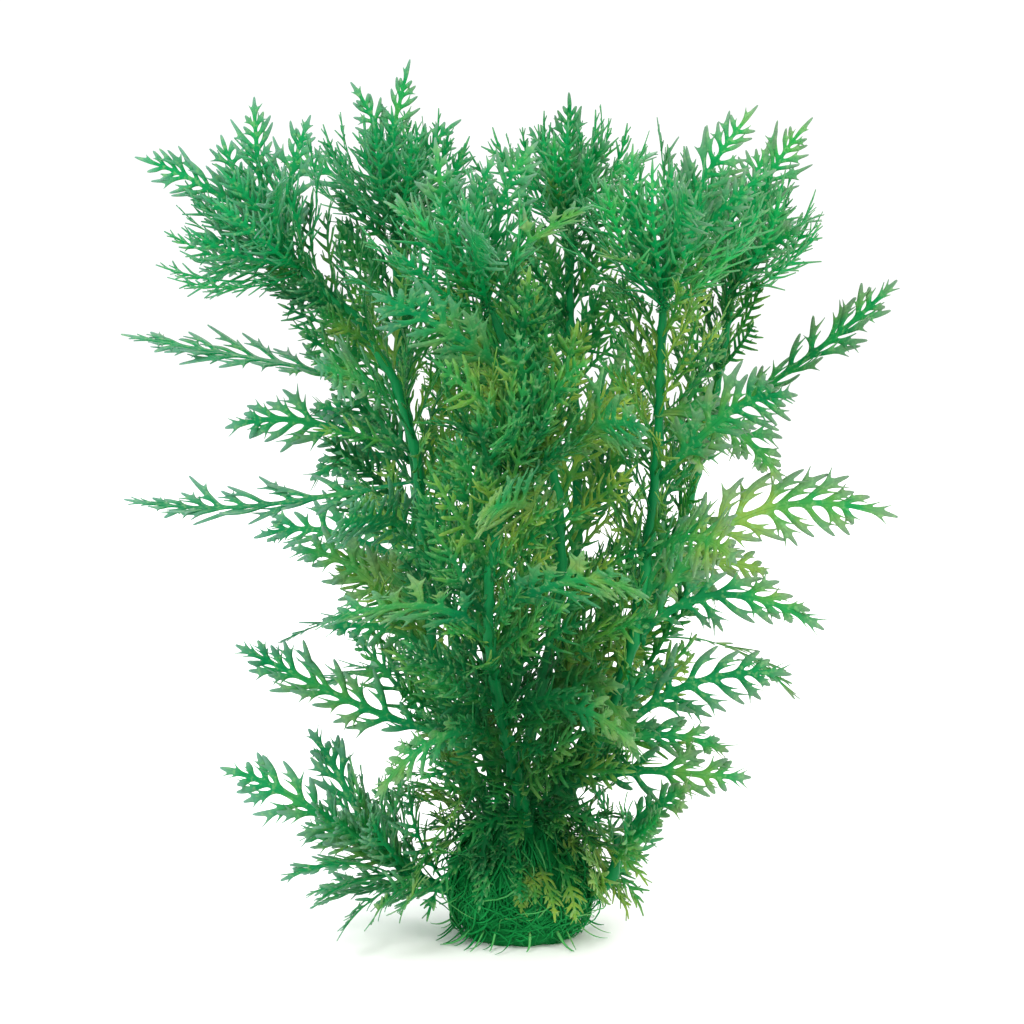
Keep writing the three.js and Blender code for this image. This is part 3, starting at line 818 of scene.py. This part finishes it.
def lay_on(bm, seat, tint, twist=0.0):
    """Bends a flat blade onto its seat and gives the leaf its tint."""
    base, chord, bow = seat["base"], seat["chord"], seat["bow"]
    tints = bm.verts.layers.float["tint"]
    for vert in bm.verts:
        x, y, z = vert.co
        share = x / chord.length
        centre = base + chord * share + bow * (4 * share * (1 - share))
        along = (chord + bow * (4 * (1 - 2 * share))).normalized()
        looks = Quaternion(along, twist * share) @ square_to(along, seat["looks"])
        vert.co = centre + looks.cross(along) * y + looks * z
        vert[tints] = tint
    bmesh.ops.recalc_face_normals(bm, faces=bm.faces)


lay_on(trial, leaf_seats["leaf_left_1"], 0.5)
print("laid on a leaf of the left stem, it reaches up to mm:", round(max(v.co.z for v in trial.verts) / MM))
trial.free()

# %% [markdown]
# ## Keeping leaves clear of each other
# Leaves that grow close make way for each other. A leaf's plain outline is enough to look for room with,
# and far cheaper than its lobes, so each leaf in place leaves its outline behind for the later ones.

# %% Outlines
# The outlines of the leaves in place: [search tree, lowest corner, highest corner]
standing = []


def box_of(bm):
    low = Vector([min(vert.co[k] for vert in bm.verts) for k in range(3)])
    high = Vector([max(vert.co[k] for vert in bm.verts) for k in range(3)])
    return low, high


def outline_of(seat):
    """The search tree and the box of a leaf's plain outline on its seat."""
    bm = bmesh.new()
    bm.verts.layers.float.new("tint")
    bmesh.ops.create_grid(bm, x_segments=6, y_segments=2, size=0.5)
    for vert in bm.verts:
        share = vert.co.x + 0.5
        inside = max(0.0, min(1.0, (share - PETIOLE_SHARE) / (1 - PETIOLE_SHARE)))
        vert.co.x = share * seat["chord"].length
        vert.co.y *= 2 * seat["half"] * math.sin(math.pi * (0.15 + 0.8 * inside)) * (inside > 0)
    lay_on(bm, seat, 0.0)
    outline = (BVHTree.FromBMesh(bm), *box_of(bm))
    bm.free()
    return outline


def crossings(seat):
    """How many faces of a leaf's outline cross the leaves that are already in place."""
    tree, low, high = outline_of(seat)
    return sum(
        len(tree.overlap(other)) for other, other_low, other_high in standing
        if all(low[k] < other_high[k] and other_low[k] < high[k] for k in range(3))
    )


print("crossings of the first leaf in an empty scene:", crossings(leaf_seats["leaf_left_1"]))

# %% [markdown]
# ## From bmesh to piece
# A leaf is far too thin to model its two sides by hand. The sheet becomes a mesh, Subdivision rounds its
# outline where it is seen close, and Solidify gives it the thickness of leaf tissue.

# %% Turning a bmesh into a piece


def add_piece(name, bm, materials, replaced=()):
    """Makes an object of a bmesh, riding with the plant. The bmesh is used up."""
    mesh = bpy.data.meshes.new(name)
    bm.to_mesh(mesh)
    bm.free()
    mesh.polygons.foreach_set("use_smooth", [True] * len(mesh.polygons))
    for material in materials:
        mesh.materials.append(material)
    piece = bpy.data.objects.new(name, mesh)
    bpy.context.scene.collection.objects.link(piece)
    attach(piece, "root")
    if replaced:
        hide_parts(*replaced)
    return piece


def thicken(piece, rounding, thickness):
    """Rounds the outline of a sheet and gives it the thickness of leaf tissue."""
    if rounding:
        smooth = piece.modifiers.new("rounding", "SUBSURF")
        smooth.levels = smooth.render_levels = rounding
    wall = piece.modifiers.new("tissue", "SOLIDIFY")
    wall.thickness = thickness
    wall.offset = 0.0
    return piece


def join_in(whole, part):
    """Adds one bmesh to another by way of a mesh, and uses it up."""
    carrier = bpy.data.meshes.new("between")
    part.to_mesh(carrier)
    part.free()
    whole.from_mesh(carrier)
    bpy.data.meshes.remove(carrier)


def add_leaf(whole, seat, reach, habit, dice, twist, tints=(0.0, 1.0)):
    """Grows a leaf, lays it on its seat with some twist to each side, in degrees, and joins it in."""
    bm = blade(seat["chord"].length, reach, habit, dice)
    tint = dice.uniform(*tints)
    lay_on(bm, seat, tint, math.radians(dice.uniform(-twist, twist)))
    join_in(whole, bm)


# %% [markdown]
# ## The grown leaves
# Each of these is a leaf that stands out in the outline of the bunch, so each is a piece of its own, in
# place of its solid. A solid wider than one leaf ever grows stands for a leaf with two shorter companions
# from the same node. The dice are seeded by the leaf's name, so a leaf keeps its shape when others change.

# %% Grown leaves
# A lobe reaches at most this far, and this share of its leaf's length
LONGEST_LOBE = 18 * MM
WIDEST_REACH = 0.27
# A solid that is wider than the widest leaf by this much gets companions
TOO_WIDE = 1.3
COMPANION_LENGTHS = (0.48, 0.66)
COMPANION_SPREAD = 0.72
WIDEST_SPREAD = 0.7
COMPANION_REACH = 0.21
COMPANION_BOWS = (-0.08, 0.03)
# How far a blade may twist to each side, in degrees
GROWN_TWIST = 14
GROWN_THICKNESS = 0.32 * MM


def companions(seat, dice):
    """The seats of the two shorter leaves, one on each side of a wide one."""
    found = []
    for hand in (1, -1):
        share = dice.uniform(*COMPANION_LENGTHS)
        length = seat["chord"].length * share
        turn = math.asin(min(WIDEST_SPREAD, COMPANION_SPREAD * seat["half"] / length))
        chord = Quaternion(seat["looks"], hand * turn) @ seat["chord"] * share
        bow = seat["bow"] * share + seat["looks"] * length * dice.uniform(*COMPANION_BOWS)
        found.append({**seat, "chord": chord, "bow": bow, "half": length * COMPANION_REACH})
    return found


def reach_of(seat):
    return min(seat["half"] * LOBE_PER_HALF, WIDEST_REACH * seat["chord"].length, LONGEST_LOBE)


def grown_leaf(node):
    seat = leaf_seats[node]
    dice = random.Random(node)
    wide = seat["half"] * LOBE_PER_HALF > WIDEST_REACH * seat["chord"].length * TOO_WIDE
    whole = bmesh.new()
    for one in [seat, *(companions(seat, dice) if wide else [])]:
        add_leaf(whole, one, reach_of(one), GROWN, dice, GROWN_TWIST)
    standing.append(outline_of(seat))
    piece = add_piece(node.replace("leaf_", "blade_"), whole, [grown_tissue], [node])
    return thicken(piece, 1, GROWN_THICKNESS)


grown_leaves = [grown_leaf(node) for node in LEAF_NODES]
print("grown leaves:", len(grown_leaves))

# %% [markdown]
# ## Crowns
# At a shoot's tip the internodes are so short that the young leaves stand in a tuft. The solid holds the
# outer ones. Between them the still smaller leaves of the bud are added, each a turn of the golden angle
# on from the last, as shoots wind them, and steeper towards the middle.

# %% Crowns
BUD_LEAVES = 24
# The first and the last leaf of a bud: length as a share of the longest young leaf round it, lean in degrees
# from the shoot, and where it sits along the shoot in millimetres
BUD_LENGTHS = (0.82, 0.68)
BUD_LENGTH_STRAY = (0.85, 1.05)
BUD_LEANS = (50, 7)
BUD_PLACES = (-1, 4)
BUD_BOW_SHARE = 0.10
BUD_REACH_SHARE = 0.25
BUD_TWIST = 30
BUD_TINTS = (0.0, 0.5)
GOLDEN_ANGLE = math.radians(137.5)
YOUNG_TWIST = 20
YOUNG_THICKNESS = 0.26 * MM
# The front shoot is short, so its tip is inside the bunch, where less light falls
SHADED_SHOOTS = ("front",)


def leaning(along, turn, lean):
    """The way out from a shoot at a turn round it, and the way of a leaf that leans out there."""
    out = Quaternion(along, turn) @ along.orthogonal().normalized()
    return out, (along * math.cos(lean) + out * math.sin(lean)).normalized()


def crown(node):
    """The outer young leaves of a shoot's tip, in place of their solid."""
    name = node.removeprefix("crown_")
    dice = random.Random(node)
    whole = bmesh.new()
    for seat in crown_seats[node]:
        add_leaf(whole, seat, reach_of(seat), YOUNG, dice, YOUNG_TWIST)
        standing.append(outline_of(seat))
    skin = inner_tissue if name in SHADED_SHOOTS else young_tissue
    return thicken(add_piece(f"tuft_{name}", whole, [skin], [node]), 1, YOUNG_THICKNESS)


def bud(node):
    """The smallest leaves, wound round the shoot's tip inside the crown."""
    name = node.removeprefix("crown_")
    dice = random.Random(f"bud {name}")
    shoot_tip = stems[name]["line"][-1]
    along = stem_spot(stems[name], 1.0)[1]
    longest_round_it = max(seat["chord"].length for seat in crown_seats[node])
    whole = bmesh.new()
    for k in range(BUD_LEAVES):
        share = k / (BUD_LEAVES - 1)
        way = leaning(along, k * GOLDEN_ANGLE, math.radians(between(BUD_LEANS, share)))[1]
        chord = way * (longest_round_it * between(BUD_LENGTHS, share) * dice.uniform(*BUD_LENGTH_STRAY))
        looks = -square_to(way, along)
        seat = {
            "base": shoot_tip + along * between(BUD_PLACES, share) * MM,
            "chord": chord, "bow": looks * chord.length * BUD_BOW_SHARE, "looks": looks,
        }
        add_leaf(whole, seat, chord.length * BUD_REACH_SHARE, SMALL, dice, BUD_TWIST, BUD_TINTS)
    skin = inner_tissue if name in SHADED_SHOOTS else bud_tissue
    return thicken(add_piece(f"bud_{name}", whole, [skin]), 0, YOUNG_THICKNESS)


crowns = [crown(node) for node in CROWN_NODES]
buds = [bud(node) for node in CROWN_NODES]
print("crowns:", len(crowns), "buds:", len(buds))

# %% [markdown]
# ## Tubes
# Stems and roots are tubes. A circle is extruded from ring to ring along a line, each new ring moved by
# the turn and the scale from the last, and the two ends are filled, so that the tube is closed.

# %% Tubes


def ring_place(middle, turn, radius):
    return Matrix.Translation(middle) @ turn.to_matrix().to_4x4() @ Matrix.Scale(radius, 4)


def add_tube(bm, line, radii, sides, material_index=0):
    """A closed tube along a line of points, with a radius at each."""
    ways = [(b - a).normalized() for a, b in zip(line, line[1:])]
    ways.append(ways[-1])
    turn = UP.rotation_difference(ways[0])
    place = ring_place(line[0], turn, radii[0])
    ring = bmesh.ops.create_circle(bm, cap_ends=False, segments=sides, radius=1.0, matrix=place)["verts"]
    first = edges = list(dict.fromkeys(edge for vert in ring for edge in vert.link_edges))
    faces = []
    for k in range(1, len(line)):
        made = bmesh.ops.extrude_edge_only(bm, edges=edges)["geom"]
        verts = [part for part in made if isinstance(part, bmesh.types.BMVert)]
        turn = ways[k - 1].rotation_difference(ways[k]) @ turn
        next_place = ring_place(line[k], turn, radii[k])
        bmesh.ops.transform(bm, matrix=next_place @ place.inverted(), verts=verts)
        fresh = set(verts)
        edges = [
            part for part in made
            if isinstance(part, bmesh.types.BMEdge) and part.verts[0] in fresh and part.verts[1] in fresh
        ]
        faces += [part for part in made if isinstance(part, bmesh.types.BMFace)]
        place = next_place
    for end in (first, edges):
        faces += bmesh.ops.edgeloop_fill(bm, edges=end)["faces"]
    for face in faces:
        face.material_index = material_index


trial = bmesh.new()
add_tube(trial, [Vector(), UP], [1, 1], 6)
print("a straight tube with six sides:", len(trial.faces), "faces")
trial.free()

# %% [markdown]
# ## Stems and their nodes
# Leaves stand in pairs, each pair at right angles to the one below, and the pairs close up towards the
# tip. The same list of nodes swells the stem and seats the smallest leaves that fill the bunch.

# %% Stems
# How far apart the nodes are at the foot and at the tip of a stem
NODE_STEPS = (14.5 * MM, 6.5 * MM)
FIRST_NODE = 9 * MM
LAST_NODE_TO_TIP = 2 * MM
# Between its nodes a stem is slimmer than its solid, and at each node it swells
STEM_WIDTH = 0.86
NODE_SWELLING = 0.34
NODE_REACH = 1.8 * MM
SUNK_IN_ROOTS = 5 * MM
STEM_RING = 12


def node_shares(stem):
    """The shares of a stem's length at which its pairs of leaves stand, and that length."""
    total = sum((b - a).length for a, b in zip(stem["line"], stem["line"][1:]))
    reached = FIRST_NODE
    shares = []
    while reached < total - LAST_NODE_TO_TIP:
        shares.append(reached / total)
        reached += between(NODE_STEPS, reached / total)
    return shares, total


def shoot(name, stem):
    shares, total = node_shares(stem)
    line = stem["line"]
    radii = []
    for k in range(len(line)):
        share = k / (len(line) - 1)
        nearest = min((abs(share - node) * total for node in shares), default=1.0)
        swell = NODE_SWELLING * math.exp(-((nearest / NODE_REACH) ** 2))
        radii.append(between(stem["radii"], share) * (STEM_WIDTH + swell))
    bm = bmesh.new()
    sunk = line[0] - (line[1] - line[0]).normalized() * SUNK_IN_ROOTS
    add_tube(bm, [sunk, *line], [radii[0], *radii], STEM_RING)
    bmesh.ops.recalc_face_normals(bm, faces=bm.faces)
    return add_piece(f"shoot_{name}", bm, [stem_skin], [f"stem_{name}"])


shoots = [shoot(name, stem) for name, stem in stems.items()]
print("stems:", len(shoots), "nodes on each:", [len(node_shares(stem)[0]) for stem in stems.values()])

# %% [markdown]
# ## The smaller leaves
# A living bunch is far fuller than its outline leaves. Smaller leaves stand up every stem, and the solids
# of the tall stems already hold the larger of them as plain blades. They are joined, a piece to a stem.

# %% Side leaves
SIDE_TWIST = 20
SIDE_THICKNESS = 0.28 * MM


def side_leaves(name):
    """The smaller leaves that are one with a stem's solid, joined in one piece."""
    dice = random.Random(f"side {name}")
    whole = bmesh.new()
    for seat in small_leaf_seats[name]:
        add_leaf(whole, seat, seat["half"] * LOBE_PER_HALF, SIDE, dice, SIDE_TWIST)
        standing.append(outline_of(seat))
    piece = add_piece(f"side_leaves_{name}", whole, [inner_tissue], [f"stem_{name}"])
    return thicken(piece, 0, SIDE_THICKNESS)


dressed = [side_leaves(name) for name in stems if small_leaf_seats[name]]
print("stems with side leaves:", len(dressed))

# %% [markdown]
# ## The smallest leaves between
# Still smaller leaves fill what is left. Each tries a few turns round its node and takes the one that
# crosses its neighbours least, and it is kept inside the body of the bunch, so that the leaves of the
# outline still stand out.

# %% Smallest leaves
# Half the width and half the depth of the bunch's leafy body at a height: [height, width, depth], in mm
BODY_PROFILE = (
    (24, 29, 40), (60, 38, 66), (100, 49, 84), (150, 60, 88), (190, 76, 88), (225, 82, 78), (248, 66, 58),
)
LOWEST_TIP = 6 * MM
# Lengths, and the angles to the stem in degrees, at its foot and at its tip
SMALL_LENGTHS = (42 * MM, 27 * MM)
SMALL_ANGLES = (66, 34)
SMALL_LENGTH_STRAY = (0.85, 1.1)
SMALL_REACH_SHARE = 0.28
SMALLEST_BOW_SHARE = 0.07
# How strongly a small leaf's upper side looks up and out of the bunch
LOOK_UP = 0.5
LOOK_OUT = 0.9
SMALL_TWIST = 25
SMALL_THICKNESS = 0.25 * MM
# Low down a node bears two of these leaves, and from a share of the stem's length on more: [share, leaves]
WHORLS = {"front": (0.0, 6)}
USUAL_WHORLS = (0.78, 4)
# Each try draws an angle and a turn, and is made shorter until it fits
TRIES = 8
ANGLE_STRAY = 16
TURN_STRAY = 32
CUTS = (1.0, 0.8, 0.62)
# The short shoots low on both sides stand out of the body, full and well lit: [how many nodes, how many
# times as far as the body their leaves may reach, the least tint]
LOW_SHOOTS = {"low_left": (12, 2.3, 0.1), "low_right": (5, 1.35, 0.7)}
# Where their first node is, in steps from one node to the next
FIRST_LOW_NODE = 0.3


def body_at(height):
    """Half the width and half the depth of the leafy body at a height."""
    for (low, *start), (high, *end) in zip(BODY_PROFILE, BODY_PROFILE[1:]):
        if height <= high * MM:
            share = max(0.0, height / MM - low) / (high - low)
            return [between(ends, share) * MM for ends in zip(start, end)]
    return [MM, MM]


def fits(seat, room):
    """Whether a leaf's tip is off the floor and inside the leafy body, made wider by room."""
    tip = seat["base"] + seat["chord"]
    half_width, half_depth = body_at(tip.z)
    return tip.z > LOWEST_TIP and math.hypot(tip.x / half_width, tip.y / half_depth) < room


def small_seat(spot, along, radius, turn, lean, length):
    """A leaf at a node, facing up and out of the bunch."""
    out, way = leaning(along, turn, lean)
    looks = square_to(way, UP * LOOK_UP + Vector((spot.x, spot.y, 0)).normalized() * LOOK_OUT)
    return {
        "base": spot + out * radius, "chord": way * length, "bow": looks * length * SMALLEST_BOW_SHARE,
        "looks": looks, "half": length * SMALL_REACH_SHARE * math.cos(math.radians(LOBE_LEAN)),
    }


def best_seat(spot, along, radius, turn, share, room, dice):
    """The seat that crosses its neighbours least in a few tries, or None where there is no room."""
    length = between(SMALL_LENGTHS, share) * dice.uniform(*SMALL_LENGTH_STRAY)
    found = []
    for _ in range(TRIES):
        lean = math.radians(between(SMALL_ANGLES, share) + dice.uniform(-ANGLE_STRAY, ANGLE_STRAY))
        turned = turn + math.radians(dice.uniform(-TURN_STRAY, TURN_STRAY))
        seats = (small_seat(spot, along, radius, turned, lean, length * cut) for cut in CUTS)
        seat = next((seat for seat in seats if fits(seat, room)), None)
        if seat is None:
            continue
        found.append((crossings(seat), len(found), seat))
        if found[-1][0] == 0:
            break
    return min(found)[2] if found else None


def small_leaves(name, stem):
    """Pairs and whorls of the smallest leaves up a stem, joined in one piece."""
    dice = random.Random(f"small {name}")
    nodes, room, least_tint = LOW_SHOOTS.get(name, (0, 1.0, 0.0))
    shares = [(k + FIRST_LOW_NODE) / nodes for k in range(nodes)] or node_shares(stem)[0]
    habit, skin = (SIDE, young_tissue) if nodes else (SMALL, inner_tissue)
    whorls_from, full_whorl = WHORLS.get(name, USUAL_WHORLS)
    first_turn = dice.uniform(0, FULL_TURN)
    whole = bmesh.new()
    count = 0
    for k, share in enumerate(shares):
        in_whorl = full_whorl if share > whorls_from else 2
        for j in range(in_whorl):
            turn = first_turn + k * math.pi / 2 + FULL_TURN * j / in_whorl
            seat = best_seat(*stem_spot(stem, share), turn, share, room, dice)
            if seat is None:
                continue
            count += 1
            standing.append(outline_of(seat))
            reach = seat["chord"].length * SMALL_REACH_SHARE
            add_leaf(whole, seat, reach, habit, dice, SMALL_TWIST, (least_tint, 1.0))
    thicken(add_piece(f"small_leaves_{name}", whole, [skin]), 0, SMALL_THICKNESS)
    return count


counts = {name: small_leaves(name, stem) for name, stem in stems.items()}
print("smallest leaves:", counts, "in all:", sum(counts.values()))

# %% [markdown]
# ## Leaves at the foot
# Side shoots too short to see keep the foot leafy. Their leaves leave the top of the root mass on all
# sides, and the lowest hang over the roots. Those in front are shorter, because the roots show there.

# %% Foot leaves
FOOT_LEAVES = 104
FOOT_LEAF_LENGTHS = (20 * MM, 40 * MM)
SHORTER_IN_FRONT = 0.45
# How steeply they rise or hang, in degrees
FOOT_RISES = (-66, 64)
# Where they start: from the middle as a share of the roots' radius, and below the roots' top in millimetres
FOOT_STARTS = (0.55, 0.9)
FOOT_DEPTHS = (-6, 15)
FOOT_TURN_STRAY = 0.2
FOOT_BOW_SHARE = 0.12
FOOT_TWIST = 30
# They may stand this many times as far out as the body does there
FOOT_ROOM = 1.4


def foot_leaves():
    """Leaves all round the top of the roots, as many as there is room for."""
    dice = random.Random("foot leaves")
    whole = bmesh.new()
    count = 0
    for k in range(FOOT_LEAVES):
        turn = k * GOLDEN_ANGLE + dice.uniform(-FOOT_TURN_STRAY, FOOT_TURN_STRAY)
        out = Vector((math.cos(turn), math.sin(turn), 0))
        rise = math.radians(dice.uniform(*FOOT_RISES))
        way = out * math.cos(rise) + UP * math.sin(rise)
        length = dice.uniform(*FOOT_LEAF_LENGTHS) * (1 - SHORTER_IN_FRONT * max(0.0, -out.y))
        looks = square_to(way, UP + out * 0.5)
        start = out * FOOT_HIGH.x * dice.uniform(*FOOT_STARTS)
        base = start + UP * (FOOT_HIGH.z - dice.uniform(*FOOT_DEPTHS) * MM)
        bow = looks * length * FOOT_BOW_SHARE
        seat = {"base": base, "chord": way * length, "bow": bow, "looks": looks}
        if fits(seat, FOOT_ROOM):
            count += 1
            add_leaf(whole, seat, length * SMALL_REACH_SHARE, SMALL, dice, FOOT_TWIST)
    thicken(add_piece("foot_leaves", whole, [inner_tissue]), 0, SMALL_THICKNESS)
    return count


print("foot leaves:", foot_leaves())

# %% [markdown]
# ## The core of the roots
# Sold bunches stand on a mat of old roots, so dense that single roots would never fill it. A wide tube
# gives it body, and its points are moved out and in so that bundles of roots seem to wind down it.

# %% Root core
CORE_SIDES = 40
CORE_RINGS = 16
# Core and threads lie this far inside the mass's outline, and the core more so over its lowest stretch
SUNK = 0.5 * MM
SUNK_LOW = 1.4 * MM
LOW_STRETCH = 10 * MM
# Bundles of old roots run down the core: how many round it, how many radians they turn in a millimetre of
# height, and how far they stand out
BUNDLES = 12
BUNDLE_TURN = 40 / 36
BUNDLE_DEPTH = 0.05


def core_radius(height):
    """The root mass's radius at a height, fullest a little above the foot."""
    share = height / FOOT_HIGH.z
    shoulder = 1 - 0.42 * (max(0.0, share - 0.55) / 0.45) ** 2
    return FOOT_HIGH.x * (0.80 + 0.15 * math.sin(math.pi * min(1.0, share / 0.8))) * shoulder


def add_core(bm):
    """The lumpy core: a wide tube with bundles round it."""
    heights = [FOOT_HIGH.z * k / CORE_RINGS for k in range(CORE_RINGS + 1)]
    line = [Vector((0, 0, height)) for height in heights]
    sunk = [SUNK + SUNK_LOW * max(0.0, 1 - height / LOW_STRETCH) for height in heights]
    add_tube(bm, line, [core_radius(height) - depth for height, depth in zip(heights, sunk)], CORE_SIDES)
    for vert in bm.verts:
        bundle = math.sin(BUNDLES * math.atan2(vert.co.y, vert.co.x) + BUNDLE_TURN * vert.co.z / MM)
        vert.co.x *= 1 + BUNDLE_DEPTH * bundle
        vert.co.y *= 1 + BUNDLE_DEPTH * bundle


print("the core's radius at foot and top in mm:", [round(core_radius(h) / MM, 1) for h in (0, FOOT_HIGH.z)])

# %% [markdown]
# ## Root threads
# Threads wander down over the core: old dark ones that sink into the mat, new pale ones on top, loose ones
# that stand off it, and a few that trail on the floor. Each is a slim tube of four sides, because there
# are hundreds, and all of them and the core are one piece, as the real mass is.

# %% Root mass
THREAD_STEPS = 10
THREAD_SIDES = 4
THREAD_TAPER = 0.75
THREAD_SWAY = 0.12
LOWEST_THREAD = 0.45 * MM
# A thread that starts above the roots' top starts this many times as far in from their side
CLIMB_IN = 2.2
THREAD_WAVES = 0.8 * MM
# Threads over the core, old, new and loose ones: [how many, where they start as a share of the roots'
# height, how far they drop as a share of that start, how many radians they turn at most, how far they stand
# off in mm, their radius in mm, one in how many is new]
THREADS = (
    (380, (0.1, 1.25), (0.5, 1.15), 1.2, (0.2, 2.4), (0.18, 0.5), 0),
    (34, (0.35, 1.1), (0.1, 0.7), 1.1, (1.0, 2.2), (0.2, 0.42), 1),
    (100, (0.3, 1.2), (0.3, 0.9), 0.7, (2.5, 7.5), (0.18, 0.34), 3),
)
# Threads on the floor: where they start as a share of the roots' radius, their length and height in mm, how
# far they curve aside, and their radius in mm
TRAILING_THREADS = 26
TRAIL_START = 0.84
TRAIL_LENGTHS = (5, 10)
TRAIL_HEIGHT = 5
TRAIL_CURVE = (-0.5, 0.5)
TRAIL_RADII = (0.2, 0.45)


def wander(dice, height, drop, turn, lift):
    """A root's way over the core, from the height where it leaves the stems to its tip."""
    points = []
    angle = dice.uniform(0, FULL_TURN)
    wobble = dice.uniform(0, FULL_TURN)
    for k in range(THREAD_STEPS):
        share = k / (THREAD_STEPS - 1)
        over_top = max(0.0, height - FOOT_HIGH.z) * CLIMB_IN
        radius = core_radius(min(height, FOOT_HIGH.z)) - over_top + lift * math.sin(math.pi * share) - SUNK
        sway = THREAD_SWAY * math.sin(wobble + 5 * share)
        level = min(height, FOOT_HIGH.z + THREAD_WAVES) + THREAD_WAVES * math.sin(wobble + 9 * share)
        spot = Vector((radius * math.cos(angle + sway), radius * math.sin(angle + sway), 0))
        points.append(spot + UP * max(LOWEST_THREAD, level))
        angle += turn / THREAD_STEPS
        height -= drop / THREAD_STEPS
    return points


def trail(dice):
    """A root that leaves the foot and lies on the floor."""
    angle = dice.uniform(0, FULL_TURN)
    out = Vector((math.cos(angle), math.sin(angle), 0))
    aside = Vector((-out.y, out.x, 0)) * dice.uniform(*TRAIL_CURVE)
    length = dice.uniform(*TRAIL_LENGTHS) * MM
    points = []
    for k in range(THREAD_STEPS):
        share = k / (THREAD_STEPS - 1)
        spot = out * (FOOT_HIGH.x * TRAIL_START + length * share) + aside * length * share ** 2
        spot.z = 0.5 * MM + TRAIL_HEIGHT * MM * (1 - share) ** 2
        points.append(spot)
    return points


def add_root(whole, points, radius, is_new):
    """One thread, slimmer towards its tip. New ones take the piece's second material."""
    last = len(points) - 1
    radii = [radius * (1 - THREAD_TAPER * (k / last) ** 2) for k in range(last + 1)]
    bm = bmesh.new()
    add_tube(bm, points, radii, THREAD_SIDES, int(is_new))
    join_in(whole, bm)


def root_mass():
    dice = random.Random("roots")
    bm = bmesh.new()
    add_core(bm)
    for many, starts, drops, most_turn, lifts, radii, new_in in THREADS:
        for k in range(many):
            start = dice.uniform(*starts) * FOOT_HIGH.z
            drop = dice.uniform(*drops) * start
            turn = dice.uniform(-most_turn, most_turn)
            points = wander(dice, start, drop, turn, dice.uniform(*lifts) * MM)
            add_root(bm, points, dice.uniform(*radii) * MM, new_in > 0 and k % new_in == 0)
    for k in range(TRAILING_THREADS):
        add_root(bm, trail(dice), dice.uniform(*TRAIL_RADII) * MM, k % 2)
    bmesh.ops.recalc_face_normals(bm, faces=bm.faces)
    return add_piece("root_mass", bm, [root_mat, new_root], ["roots"])


mass = root_mass()
print("root mass faces:", len(mass.data.polygons))

# %% [markdown]
# ## Floor and light
# A pale floor under a bright, even sky, with large soft lights from the front left and the front right and
# one from behind that shines through the thin blades. The floor goes on far enough to have no visible edge.

# %% Floor and lights


def add_floor():
    bm = bmesh.new()
    bmesh.ops.create_grid(bm, x_segments=1, y_segments=1, size=20.0)
    mesh = bpy.data.meshes.new("floor")
    bm.to_mesh(mesh)
    bm.free()
    floor = bpy.data.objects.new("floor", mesh)
    bpy.context.scene.collection.objects.link(floor)
    # Matt white card: it shows a soft shadow and nothing else
    material, node = new_material("matt_white_floor")
    surface = node("BsdfPrincipled", {"Base Color": linear("#ffffff"), "Roughness": 1.0})
    node("OutputMaterial", {"Surface": surface})
    mesh.materials.append(material)
    floor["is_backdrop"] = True


def add_light(name, place, size, watts, colour):
    data = bpy.data.lights.new(name, "AREA")
    data.size = size
    data.energy = watts
    data.color = linear(colour)[:3]
    light = bpy.data.objects.new(name, data)
    light.location = place
    light.rotation_euler = (CAMERA_AIM - Vector(place)).to_track_quat("-Z", "Y").to_euler()
    bpy.context.scene.collection.objects.link(light)


def add_sky():
    world = bpy.data.worlds.new("white_sky")
    world.use_nodes = True
    sky = world.node_tree.nodes["Background"]
    sky.inputs["Color"].default_value = linear("#ffffff")
    sky.inputs["Strength"].default_value = 1.1
    bpy.context.scene.world = world


add_floor()
add_light("key", (-0.9, -1.3, 1.5), 0.9, 26, "#ffffff")
add_light("fill", (1.2, -1.0, 0.8), 0.9, 10, "#fffbe8")
add_light("back", (0.3, 1.2, 1.3), 0.8, 16, "#ffffff")
add_sky()
bpy.context.scene.view_settings.view_transform = "Standard"
print("lights:", len(bpy.data.lights))

# %% [markdown]
# ## Sizes
# Both boxes, of the solids and of the dressed plant, are printed, and so are the triangles.

# %% Sizes and finish
bpy.context.view_layer.update()
DRESSED_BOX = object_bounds()
depsgraph = bpy.context.evaluated_depsgraph_get()
triangles = {}
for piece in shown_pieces():
    evaluated = piece.evaluated_get(depsgraph)
    triangles[piece.name] = sum(len(face.vertices) - 2 for face in evaluated.to_mesh().polygons)
    evaluated.to_mesh_clear()
print("triangles:", sum(triangles.values()), "most in one piece:", max(triangles.values()))
for title, (low, high) in (("solids", SOLIDS_BOX), ("dressed", DRESSED_BOX)):
    print(f"{title} in mm:", [round(size / MM, 1) for size in high - low])
